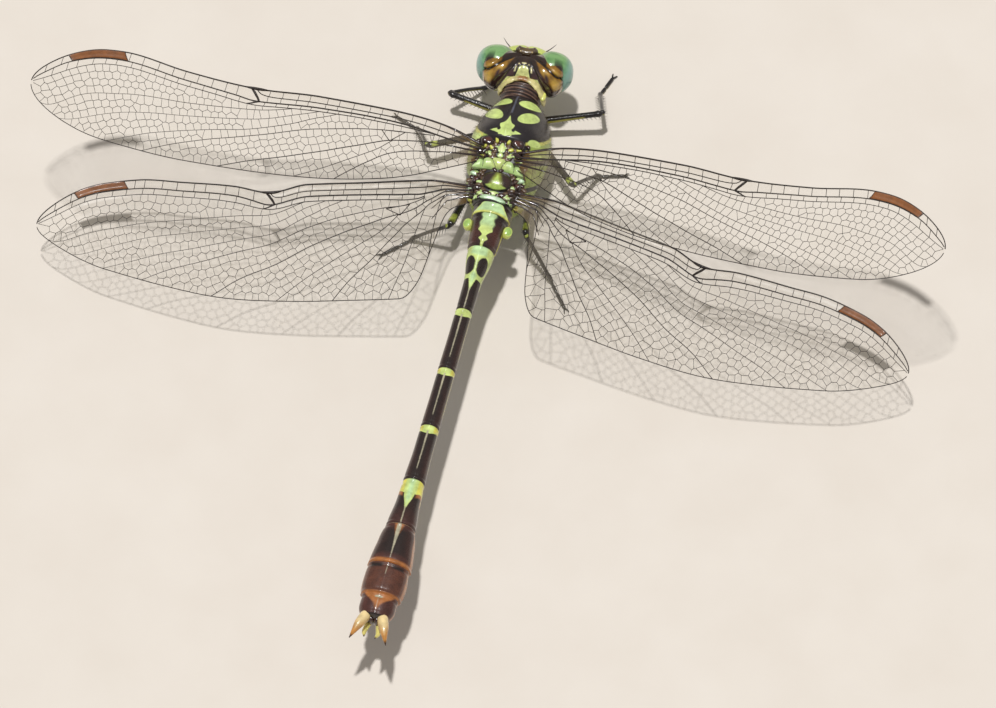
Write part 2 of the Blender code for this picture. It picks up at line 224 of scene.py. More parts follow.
def hump(value: Array, centre: float, width: float) -> Array:
    """A bell of height 1 around the centre, by a Gaussian of that width."""
    return np.exp(-((value - centre) / width) ** 2)


def band(value: Array, low: float, high: float) -> Array:
    """Field of the stretch between two values: the distance to the nearer of them."""
    return np.minimum(value - low, high - value)


def disc(across: Array, along: Array, centre: Pair, size: Pair, tilt: float = 0.0) -> Array:
    """Field of an ellipse: one less its scaled radius, times its smaller half-axis.

    Args:
        across: First coordinate.
        along: Second coordinate.
        centre: The ellipse's middle.
        size: Its half-axes.
        tilt: Degrees that it turns towards the second coordinate.

    Returns:
        The field.
    """
    turn = math.radians(tilt)
    x, y = across - centre[0], along - centre[1]
    u = (x * math.cos(turn) + y * math.sin(turn)) / size[0]
    v = (y * math.cos(turn) - x * math.sin(turn)) / size[1]
    return (1.0 - np.hypot(u, v)) * min(size)


def stroke(across: Array, along: Array, start: Pair, stop: Pair, half_width: float) -> Array:
    """Field of a straight stroke: its half-width less the distance to its middle line."""
    dx, dy = stop[0] - start[0], stop[1] - start[1]
    x, y = across - start[0], along - start[1]
    share = np.clip((x * dx + y * dy) / (dx * dx + dy * dy), 0.0, 1.0)
    return half_width - np.hypot(x - share * dx, y - share * dy)


def union(*fields: Array) -> Array:
    """Field of all the places that lie in at least one marking."""
    return np.maximum.reduce(np.broadcast_arrays(*fields))


def overlap(*fields: Array) -> Array:
    """Field of the places that lie in every marking."""
    return np.minimum.reduce(np.broadcast_arrays(*fields))


def oval(turn: Array, power: float) -> tuple[Array, Array]:
    """Cosine and sine of an angle with the circle's corners squared by a power above 2."""
    cos, sin = np.cos(turn), np.sin(turn)
    return (np.sign(cos) * abs(cos) ** (2.0 / power), np.sign(sin) * abs(sin) ** (2.0 / power))


def turned(points: Array, rotation: Matrix, centre: Sequence[float]) -> Array:
    """Points turned by a rotation and carried to a centre."""
    return points @ np.array(rotation.to_3x3()).T + np.asarray(centre, dtype=float)


def ring_solid(rings: Array) -> Shape:
    """Close a row of rings into one solid, each end by a fan round its middle point.

    Args:
        rings: Points as (ring, place round it, coordinate).

    Returns:
        The solid, its faces pointing outwards.
    """
    count, around = rings.shape[:2]
    grid = np.arange(count * around).reshape(count, around)
    after = np.roll(grid, -1, axis=1)
    sides = np.stack([grid[:-1], after[:-1], after[1:], grid[1:]], axis=-1).reshape(-1, 4)
    first, last = count * around, count * around + 1
    caps = np.vstack([np.stack([np.full(around, first), after[0], grid[0]], axis=1),
                      np.stack([np.full(around, last), grid[-1], after[-1]], axis=1)])
    vertices = np.vstack([rings.reshape(-1, 3), rings[0].mean(0), rings[-1].mean(0)])
    return outward(vertices, [sides, caps])


def outward(vertices: Array, faces: Faces) -> Shape:
    """Turn all faces round if the volume that they enclose comes out negative."""
    volume = 0.0
    for group in faces:
        for corner in range(1, group.shape[1] - 1):
            a, b, c = (vertices[group[:, k]] for k in (0, corner, corner + 1))
            volume += float(np.einsum("ij,ij->", a, np.cross(b, c)))
    if volume < 0.0:
        faces = [group[:, ::-1] for group in faces]
    return vertices, faces


def orb(centre: Sequence[float], radii: Sequence[float], around: int, up: int,
        power: float = 2.0) -> Shape:
    """An ellipsoid with its poles above and below; a power above 2 squares it."""
    turn = np.linspace(0.0, math.tau, around, endpoint=False)
    lift = np.linspace(-0.5 * math.pi, 0.5 * math.pi, up + 2)[1:-1]
    cos_turn, sin_turn = oval(turn, power)
    cos_lift, sin_lift = oval(lift, power)
    rings = np.stack([cos_lift[:, None] * cos_turn, cos_lift[:, None] * sin_turn,
                      np.repeat(sin_lift[:, None], around, axis=1)], axis=-1)
    return ring_solid(rings * np.asarray(radii) + np.asarray(centre))


def bundle(paths: Array, radii: Array, sides: int,
           upright: Sequence[float] = (0.0, 0.0, 1.0)) -> Shape:
    """Many tubes at once: a ring carried along each path, square to it, closed at both ends.

    Args:
        paths: Points as (tube, place along it, coordinate).
        radii: Radius as (tube, place along it).
        sides: Number of sides of a ring.
        upright: A direction that no path runs along.

    Returns:
        All the tubes in one shape.
    """
    heading = np.gradient(paths, axis=1)
    heading /= np.linalg.norm(heading, axis=-1, keepdims=True)
    side = np.cross(heading, np.asarray(upright, dtype=float))
    side /= np.maximum(np.linalg.norm(side, axis=-1, keepdims=True), 1e-9)
    top = np.cross(side, heading)
    turn = (np.arange(sides) + 0.5) * math.tau / sides
    ring = (side[:, :, None] * np.cos(turn)[:, None] + top[:, :, None] * np.sin(turn)[:, None])
    points = paths[:, :, None] + ring * radii[:, :, None, None]
    tubes, stops = paths.shape[:2]
    grid = np.arange(tubes * stops * sides).reshape(tubes, stops, sides)
    after = np.roll(grid, -1, axis=2)
    walls = np.stack([grid[:, :-1], grid[:, 1:], after[:, 1:], after[:, :-1]], axis=-1)
    return points.reshape(-1, 3), [walls.reshape(-1, 4), grid[:, 0], grid[:, -1, ::-1]]


def merged(*shapes: Shape) -> Shape:
    """Join several shapes into one set of vertices and face groups."""
    vertices, faces, start = [], [], 0
    for points, groups in shapes:
        vertices.append(points)
        faces.extend(group + start for group in groups)
        start += len(points)
    return np.vstack(vertices), faces


# Finishes

class Board:
    """A node tree with short words for adding and joining its nodes.

    A setting is a value, a Tone, or an output socket to link from.
    """

    def __init__(self, tree: bpy.types.NodeTree) -> None:
        """Keep the tree."""
        self.tree = tree

    def add(self, kind: str, **settings: object) -> bpy.types.Node:
        """Add a node of a kind.

        Args:
            kind: The node type's identifier, without ShaderNode in front.
            **settings: Node properties, and settings for its inputs.

        Returns:
            The new node.
        """
        node = self.tree.nodes.new("ShaderNode" + kind)
        for key in [key for key in settings if key in node.bl_rna.properties]:
            setattr(node, key, settings.pop(key))
        return self.fill(node, **settings)

    def fill(self, node: bpy.types.Node, **inputs: object) -> bpy.types.Node:
        """Give settings to a node's inputs, each by its name or by _ and its number."""
        for key, value in inputs.items():
            slot = int(key[1:]) if key[1:].isdigit() else key.replace("_", " ")
            if isinstance(value, Socket):
                self.tree.links.new(value, node.inputs[slot])
            else:
                node.inputs[slot].default_value = (
                    value.linear() if isinstance(value, Tone) else value)
        return node

    def attribute(self, name: str) -> Socket:
        """The number that a mesh carries under a name."""
        return self.add("Attribute", attribute_name=name).outputs["Fac"]

    def place(self) -> Socket:
        """The point's place in the piece's own coordinates, in metres."""
        return self.add("TexCoord").outputs["Object"]

    def noise(self, place: Socket, scale: object, detail: float) -> Socket:
        """Cloudy noise from 0 to 1."""
        return self.add("TexNoise", Vector=place, Scale=scale, Detail=detail).outputs["Fac"]

    def math(self, operation: str, first: object, second: object, **more: object) -> Socket:
        """The result of one sum on two settings."""
        return self.add("Math", operation=operation, _0=first, _1=second, **more).outputs[0]

    def spread(self, value: Socket, *ends: object, **more: object) -> Socket:
        """A value carried from one range to another, given as the ends of both."""
        numbered = {f"_{slot}": end for slot, end in enumerate(ends, start=1)}
        return self.add("MapRange", _0=value, **numbered, **more).outputs["Result"]

    def mix(self, share: Socket, under: object, paint: object) -> Socket:
        """One colour laid over another by a share."""
        return self.add("Mix", data_type="RGBA", _0=share, _6=under, _7=paint).outputs[2]

    def relief(self, height: Socket, depth: float) -> Socket:
        """The normal of a relief of that many millimetres."""
        return self.add("Bump", Distance=depth * MM, Height=height).outputs["Normal"]


def new_object(name: str, data: bpy.types.ID) -> bpy.types.Object:
    """A new object in the scene."""
    made = bpy.data.objects.new(name, data)
    bpy.context.scene.collection.objects.link(made)
    return made


def new_material(name: str) -> tuple[bpy.types.Material, Board, bpy.types.Node]:
    """A new material with a board for its nodes and its shader."""
    material = bpy.data.materials.new(name)
    material.use_nodes = True
    return material, Board(material.node_tree), material.node_tree.nodes["Principled BSDF"]


def new_group(name: str, inputs: dict[str, object], outputs: Sequence[str]
              ) -> tuple[Board, bpy.types.NodeOutputs, bpy.types.Node]:
    """Start a shader node group with named sockets.

    Args:
        name: The group's name.
        inputs: Starting value of each input, a number or a colour's four.
        outputs: Names of the outputs, of which Color is a colour.

    Returns:
        A board for the group, the sockets that it is given, and its output node.
    """
    board = Board(bpy.data.node_groups.new(name, "ShaderNodeTree"))
    for label, value in inputs.items():
        kind = COLOUR if isinstance(value, tuple) else NUMBER
        socket = board.tree.interface.new_socket(label, in_out="INPUT", socket_type=kind)
        socket.default_value = value
    for label in outputs:
        kind = COLOUR if label == "Color" else NUMBER
        board.tree.interface.new_socket(label, in_out="OUTPUT", socket_type=kind)
    ends = [board.tree.nodes.new("NodeGroup" + end) for end in ("Input", "Output")]
    return board, ends[0].outputs, ends[1]


@dataclass(frozen=True)
class Paint:
    """One marking of a shell: the field that draws it, its tone and how soft its edge is."""

    field_name: str
    tone: Tone
    edge: float = 0.025


class Recipes:
    """Shader node groups that several finishes share, each built once."""

    def __init__(self) -> None:
        """Build the groups."""
        self.marking = self.build_marking()
        self.cuticle = self.build_cuticle()

    def build_marking(self) -> bpy.types.NodeTree:
        """Paint one tone over another where a field is positive.

        The share of the paint rises smoothly from 0 to 1 as the field goes from minus the
        edge to plus the edge, and a fine noise frays that line a little.
        """
        board, given, out = new_group(
            "marking",
            {"Under": (0.0, 0.0, 0.0, 1.0), "Paint": (1.0, 1.0, 1.0, 1.0), "Field": 0.0,
             "Edge": 0.03},
            ["Color"])
        fray = board.spread(board.noise(board.place(), 9000.0, 2.0), 0.25, 0.75, -0.012, 0.012)
        share = board.spread(
            board.math("ADD", given["Field"], fray), board.math("MULTIPLY", given["Edge"], -1.0),
            given["Edge"], interpolation_type="SMOOTHSTEP")
        board.fill(out, Color=board.mix(share, given["Under"], given["Paint"]))
        return board.tree

    def build_cuticle(self) -> bpy.types.NodeTree:
        """Clouded tone, uneven gloss and fine pits of an insect's shell.

        The tone is scaled by a slow noise, the roughness is moved by a finer one, and the
        height adds the finer noise to small round pits.
        """
        board, given, out = new_group(
            "cuticle",
            {"Color": (0.5, 0.5, 0.5, 1.0), "Cloud Scale": 1500.0, "Cloud Depth": 0.2,
             "Roughness": 0.4, "Roughness Spread": 0.15, "Pit Scale": 12000.0},
            ["Color", "Roughness", "Height"])
        place, depth, pit_scale = board.place(), given["Cloud Depth"], given["Pit Scale"]
        cloud = board.spread(board.noise(place, given["Cloud Scale"], 5.0), 0.3, 0.7,
                             board.math("SUBTRACT", 1.0, depth), board.math("ADD", 1.0, depth))
        tone = board.add("VectorMath", operation="SCALE", _0=given["Color"], Scale=cloud)
        pits = board.add("TexVoronoi", Vector=place, Scale=pit_scale).outputs["Distance"]
        fine = board.noise(place, pit_scale, 3.0)
        swing = board.math(
            "MULTIPLY", board.math("SUBTRACT", fine, 0.5), given["Roughness Spread"])
        board.fill(out, Color=tone.outputs["Vector"], Height=board.math("ADD", pits, fine),
                   Roughness=board.math("ADD", swing, given["Roughness"], use_clamp=True))
        return board.tree

    def painted(self, board: Board, ground: object, paints: Sequence[Paint]) -> object:
        """Lay markings over a ground, one after another.

        Args:
            board: The material's board.
            ground: The ground's tone or socket.
            paints: The markings, the lowest first.

        Returns:
            The painted socket, or the ground where there is no marking.
        """
        for paint in paints:
            ground = board.add(
                "Group", node_tree=self.marking, Under=ground, Paint=paint.tone, Edge=paint.edge,
                Field=board.attribute(paint.field_name)).outputs["Color"]
        return ground


@dataclass(frozen=True)
class Cuticle:
    """The finish of a shell: a ground tone, markings over it, then gloss and grain."""

    name: str
    ground: Tone
    slot: Slot
    paints: tuple[Paint, ...] = ()
    roughness: float = 0.34
    roughness_spread: float = 0.25
    coat: float = 0.25
    cloud_size: float = 0.55       # millimetres
    cloud_depth: float = 0.22
    pit_size: float = 0.07         # millimetres
    pit_depth: float = 0.006       # millimetres

    def build(self, recipes: Recipes) -> bpy.types.Material:
        """Make the material, which reads the piece's marking fields."""
        material, board, shader = new_material(self.name)
        grain = board.add(
            "Group", node_tree=recipes.cuticle, Cloud_Depth=self.cloud_depth,
            Color=recipes.painted(board, self.ground, self.paints),
            Cloud_Scale=1.0 / (self.cloud_size * MM), Pit_Scale=1.0 / (self.pit_size * MM),
            Roughness=self.roughness, Roughness_Spread=self.roughness_spread).outputs
        board.fill(shader, Base_Color=grain["Color"], Roughness=grain["Roughness"],
                   Normal=board.relief(grain["Height"], self.pit_depth), Coat_Weight=self.coat,
                   Coat_Roughness=0.12)
        return material


@dataclass(frozen=True)
class EyeGlass:
    """The finish of a compound eye: green above, teal at the sides, a pale rim, fine facets."""

    name: str = "eye_glass"
    slot: Slot = Slot.EYE
    crown: Tone = Tone(128, 172, 108)
    streak: Tone = Tone(70, 122, 66)
    # The near black paint is a painted shadow: a dark streak in the eye along the shell's edge.
    paints: tuple[Paint, ...] = (
        Paint("flank", Tone(122, 170, 158), 0.5), Paint("glow", Tone(172, 196, 112), 0.25),
        Paint("rim", Tone(206, 218, 160), 0.06), Paint("pupil", Tone(12, 26, 22), 0.1))
    facet_size: float = 0.055      # millimetres
    facet_depth: float = 0.004     # millimetres
    roughness: float = 0.22
    coat: float = 0.8
    coat_roughness: float = 0.06

    def build(self, recipes: Recipes) -> bpy.types.Material:
        """Make the material, streaked along the eye and paved with facets."""
        material, board, shader = new_material(self.name)
        place = board.place()
        flow = board.add("Mapping", Vector=place, Scale=(500.0, 1500.0, 2400.0)).outputs[0]
        streaks = board.spread(board.noise(flow, 1.0, 4.0), 0.42, 0.66)
        ground = board.mix(streaks, self.crown, self.streak)
        facets = board.add("TexVoronoi", Vector=place, feature="DISTANCE_TO_EDGE",
                           Scale=1.0 / (self.facet_size * MM)).outputs["Distance"]
        board.fill(shader, Base_Color=recipes.painted(board, ground, self.paints),
                   Normal=board.relief(facets, self.facet_depth), Roughness=self.roughness,
                   Coat_Weight=self.coat, Coat_Roughness=self.coat_roughness)
        return material


@dataclass(frozen=True)
class WingFilm:
    """The finish of a wing's film: clear, with a breath of amber towards its root."""

    name: str = "wing_film"
    slot: Slot = Slot.WING
    clear: Tone = Tone(190, 180, 158)
    amber: Tone = Tone(150, 112, 52)
    clear_cover: float = 0.05
    amber_cover: float = 0.24
    ripple_scale: float = 900.0
    ripple_depth: float = 0.03     # millimetres
    roughness: float = 0.26
    gloss: float = 0.45

    def build(self, recipes: Recipes) -> bpy.types.Material:
        """Make the material; it reads the field amber, from 0 to 1."""
        material, board, shader = new_material(self.name)
        amber = board.attribute("amber")
        ripple = board.noise(board.place(), self.ripple_scale, 3.0)
        cover = board.spread(amber, 0.0, 1.0, self.clear_cover, self.amber_cover)
        uneven = board.spread(ripple, 0.3, 0.7, 0.75, 1.25)
        board.fill(shader, Base_Color=board.mix(amber, self.clear, self.amber),
                   Alpha=board.math("MULTIPLY", cover, uneven), Roughness=self.roughness,
                   Normal=board.relief(ripple, self.ripple_depth), Specular_IOR_Level=self.gloss)
        return material


def shell(name: str, slot: Slot, ground: Triple, *paints: tuple[str, Triple, float],
          **grain: float) -> Cuticle:
    """A shell's finish from plain numbers.

    Args:
        name: The material's name.
        slot: The record's slot.
        ground: The ground tone's red, green and blue.
        *paints: Field, tone and edge of each marking, the lowest first.
        **grain: Gloss, clouds and pits where they aren't the usual ones.

    Returns:
        The finish.
    """
    layers = tuple(Paint(mark, Tone(*tone), edge) for mark, tone, edge in paints)
    return Cuticle(name, Tone(*ground), slot, layers, **grain)


# Head shell: the dark brown paint (58, 34, 34) is painted shade in the folds of the lobes.
# Head shell: the ridge paint (222, 214, 160) is a pale ridge broken into dashes of painted
# highlight.
HEAD_SHELL = shell(
    "head_shell", Slot.OCHRE, (44, 26, 16), ("gold", (138, 98, 28), 0.09),
    ("bright", (196, 158, 66), 0.22), ("smudge", (58, 34, 34), 0.14),
    ("plate", (206, 208, 134), 0.04), ("ridge", (222, 214, 160), 0.05),
    ("line", (24, 17, 16), 0.03), roughness=0.16, coat=0.9, pit_depth=0.001, cloud_depth=0.4,
    cloud_size=0.4)
VERTEX_SHELL = shell(
    "vertex_shell", Slot.DARK, (42, 30, 24), ("worn", (104, 84, 54), 0.18), roughness=0.3,
    coat=0.5, pit_depth=0.006, cloud_size=0.25)
FACE_SHELL = shell("face_shell", Slot.GREEN, (200, 212, 112), ("line", (40, 30, 18), 0.05),
                   roughness=0.3, coat=0.3, cloud_depth=0.12)
MOUTH_SHELL = shell(
    "mouth_shell", Slot.GREEN, (170, 178, 92), ("line", (44, 32, 20), 0.05), roughness=0.34,
    coat=0.3, cloud_depth=0.15)
OCELLUS_GLASS = shell(
    "ocellus_glass", Slot.EYE, (196, 170, 120), roughness=0.08, coat=1.0, pit_depth=0.0,
    cloud_depth=0.05)
FEELER_SHELL = shell("feeler_shell", Slot.DARK, (30, 22, 18), roughness=0.4)
# Neck: the paler brown paint is painted highlight on the crests of the folds, and the dark line
# paint is painted shade in their grooves.
NECK_SHELL = shell(
    "neck_shell", Slot.BROWN, (54, 36, 32), ("fold", (134, 104, 88), 0.05),
    ("line", (24, 15, 16), 0.05), roughness=0.34, coat=0.4, cloud_depth=0.3, cloud_size=0.35)
COLLAR_SHELL = shell(
    "collar_shell", Slot.PALE, (214, 202, 138), ("middle", (150, 108, 62), 0.16), roughness=0.36,
    coat=0.3, cloud_depth=0.22, cloud_size=0.3, pit_depth=0.012, pit_size=0.16)
# Thorax shell: the slate-blue paint (84, 86, 100) is a painted sheen along the keel.
THORAX_SHELL = shell(
    "thorax_shell", Slot.GREEN, (34, 28, 30), ("side", (160, 178, 86), 0.05),
    ("mint", (186, 216, 158), 0.1), ("suture", (28, 20, 18), 0.04), ("rim", (198, 196, 96), 0.05),
    ("carina", (84, 86, 100), 0.05), ("lime", (202, 221, 130), 0.025), ("dot", (24, 17, 16), 0.03),
    roughness=0.38, coat=0.25, pit_depth=0.006, pit_size=0.09, cloud_depth=0.24)
PLATE_GREEN = shell(
    "plate_green", Slot.GREEN, (184, 212, 136), ("heart", (206, 218, 132), 0.12),
    ("line", (40, 32, 20), 0.04), roughness=0.34, coat=0.35, cloud_depth=0.18, cloud_size=0.3)
PLATE_MINT = shell("plate_mint", Slot.GREEN, (176, 206, 160), ("heart", (206, 226, 200), 0.14),
                   roughness=0.3, coat=0.4, cloud_depth=0.15, cloud_size=0.3)
# Dark knobs: the reddish brown heart paint is a painted highlight on their crowns.
PLATE_DARK = shell("plate_dark", Slot.DARK, (44, 26, 24), ("heart", (92, 48, 38), 0.14),
                   roughness=0.2, coat=0.9, cloud_depth=0.3, cloud_size=0.3, pit_depth=0.003)
# Hinge plates: their dark brown is partly their own tone and partly painted shade in the hollows
# round the wing roots.
HINGE_SHELL = shell(
    "hinge_shell", Slot.BROWN, (98, 74, 50), roughness=0.32, coat=0.4, cloud_depth=0.35,
    cloud_size=0.3)
PLATE_YELLOW = shell(
    "plate_yellow", Slot.PALE, (206, 206, 86), ("heart", (226, 226, 120), 0.08), roughness=0.3,
    coat=0.5, cloud_depth=0.14, cloud_size=0.25)
AURICLE_SHELL = shell(
    "auricle_shell", Slot.PALE, (164, 198, 104), ("rim", (208, 218, 112), 0.05), roughness=0.3,
    coat=0.5, cloud_depth=0.12, cloud_size=0.25)
DOME_SHELL = shell(
    "dome_shell", Slot.BROWN, (52, 34, 28), ("heart", (150, 160, 62), 0.2),
    ("lime", (172, 196, 96), 0.06), ("line", (24, 17, 16), 0.03), roughness=0.26, coat=0.6,
    cloud_depth=0.22, cloud_size=0.3)
# Tail shell: the warm paint is the rings' own warm brown, and on rings 4 to 6 it is a painted
# sheen.
ABDOMEN_SHELL = shell(
    "abdomen_shell", Slot.DARK, (36, 22, 18), ("warm", (78, 42, 34), 0.45),
    ("side", (150, 140, 66), 0.1), ("rust", (168, 104, 52), 0.1), ("lime", (204, 220, 130), 0.03),
    ("mint", (190, 220, 160), 0.12), ("yellow", (222, 214, 92), 0.07),
    ("midline", (176, 168, 142), 0.03), ("dark", (32, 19, 16), 0.035), roughness=0.3, coat=0.45,
    cloud_depth=0.28, cloud_size=0.5, pit_depth=0.004, pit_size=0.07)
CLASPER_SHELL = shell(
    "clasper_shell", Slot.PALE, (232, 206, 150), ("amber", (196, 134, 62), 0.3),
    ("dark", (62, 34, 20), 0.12), roughness=0.28, coat=0.5, cloud_depth=0.2)
ARM_SHELL = shell("arm_shell", Slot.PALE, (210, 200, 118), ("dark", (70, 40, 22), 0.08),
                  roughness=0.28, coat=0.5, cloud_depth=0.15)
LEG_SHELL = shell(
    "leg_shell", Slot.LEG, (26, 20, 20), ("stripe", (150, 142, 58), 0.05),
    ("knee", (176, 186, 80), 0.05), roughness=0.26, coat=0.6, cloud_depth=0.3, cloud_size=0.4)
SPINE_SHELL = shell("spine_shell", Slot.LEG, (18, 14, 14), roughness=0.32, coat=0.3)
VEIN_SHELL = shell(
    "vein_shell", Slot.WING, (36, 25, 19), roughness=0.5, coat=0.05, cloud_depth=0.3)
STIGMA_SHELL = shell(
    "stigma_shell", Slot.WING, (134, 80, 36), ("line", (34, 20, 14), 0.05), roughness=0.5,
    coat=0.1, cloud_depth=0.25, cloud_size=0.5)
HAIR_SHELL = shell(
    "hair_shell", Slot.PALE, (116, 104, 86), roughness=0.45, coat=0.0, pit_depth=0.0)
EYE_GLASS = EyeGlass()
WING_FILM = WingFilm()


# The workbench

Finish = Cuticle | EyeGlass | WingFilm


class Workbench:
    """Turns surfaces into pieces of the scene, dresses them and ties them to the frame."""

    def __init__(self) -> None:
        """Find the body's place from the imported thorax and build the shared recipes."""
        middle = np.mean(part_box("thorax"), axis=0)[:2]
        self.origin = np.append(middle - np.array(THORAX_MIDDLE) * MM, 0.0)
        self.recipes = Recipes()
        self.materials: dict[str, bpy.types.Material] = {}

    def material(self, finish: Finish) -> bpy.types.Material:
        """The material of a finish, made at its first use."""
        if finish.name not in self.materials:
            self.materials[finish.name] = finish.build(self.recipes)
        return self.materials[finish.name]

    def world(self, points: Array) -> Array:
        """Body millimetres as metres in the frame."""
        return np.asarray(points, dtype=float) * MM + self.origin

    def mesh(self, name: str, vertices: Array, faces: Faces) -> bpy.types.Mesh:
        """Put whole arrays into a new mesh.

        Args:
            name: The mesh's name.
            vertices: Points in body millimetres.
            faces: Groups of faces, each with one number of corners.

        Returns:
            The smooth shaded mesh.
        """
        mesh = bpy.data.meshes.new(name)
        mesh.vertices.add(len(vertices))
        mesh.vertices.foreach_set("co", self.world(vertices).astype(np.float32).ravel())
        corners = np.concatenate([group.ravel() for group in faces]).astype(np.int32)
        totals = np.concatenate([np.full(len(group), group.shape[1]) for group in faces])
        starts = np.concatenate([[0], np.cumsum(totals)[:-1]])
        mesh.loops.add(len(corners))
        mesh.loops.foreach_set("vertex_index", corners)
        mesh.polygons.add(len(totals))
        mesh.polygons.foreach_set("loop_start", starts.astype(np.int32))
        mesh.polygons.foreach_set("use_smooth", np.ones(len(totals), dtype=bool))
        mesh.update(calc_edges=True)
        mesh.validate()
        return mesh

    def add(self, name: str, shape: Shape, finish: Finish, fields: Optional[dict] = None,
            stands_for: Sequence[str] = ()) -> bpy.types.Object:
        """Make one finished piece.

        Args:
            name: The piece's name.
            shape: Its shape in body millimetres.
            finish: What it is made to look like.
            fields: Marking fields by name; those of the end fans may be missing.
            stands_for: The CAD nodes that it replaces.

        Returns:
            The piece, riding on the body.
        """
        mesh = self.mesh(name, *shape)
        for label, values in (fields or {}).items():
            values = np.asarray(values, dtype=np.float32).reshape(-1)
            if len(mesh.vertices) - len(values) == END_FANS:
                values = np.concatenate([values, values[:1], values[-1:]])
            attribute = mesh.attributes.new(label, "FLOAT", "POINT")
            attribute.data.foreach_set("value", values)
        mesh.materials.append(self.material(finish))
        piece = new_object(name, mesh)
        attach(piece, BODY)
        if stands_for:
            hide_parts(*stands_for)
        log.info("%-28s %7d faces", name, len(mesh.polygons))
        return piece

    def bake_map(self, piece: bpy.types.Object, places: Array) -> None:
        """Give a piece of many like hairs its map OFBake.

        Args:
            piece: The piece; its hairs follow one another and have equal vertex counts.
            places: Each hair's root on the skin's own map, from 0 to 1 both ways.
        """
        mesh = piece.data
        each = len(mesh.vertices) // len(places)
        turn = np.arange(each) * math.tau / each
        patch = np.stack([np.cos(turn), np.sin(turn)], axis=1) * 0.5 * PATCH
        spots = (places[:, None] + patch[None]).reshape(-1, 2)
        corners = np.zeros(len(mesh.loops), dtype=np.int32)
        mesh.loops.foreach_get("vertex_index", corners)
        layer = mesh.uv_layers.new(name="OFBake")
        layer.data.foreach_set("uv", spots[corners].astype(np.float32).ravel())


# Head

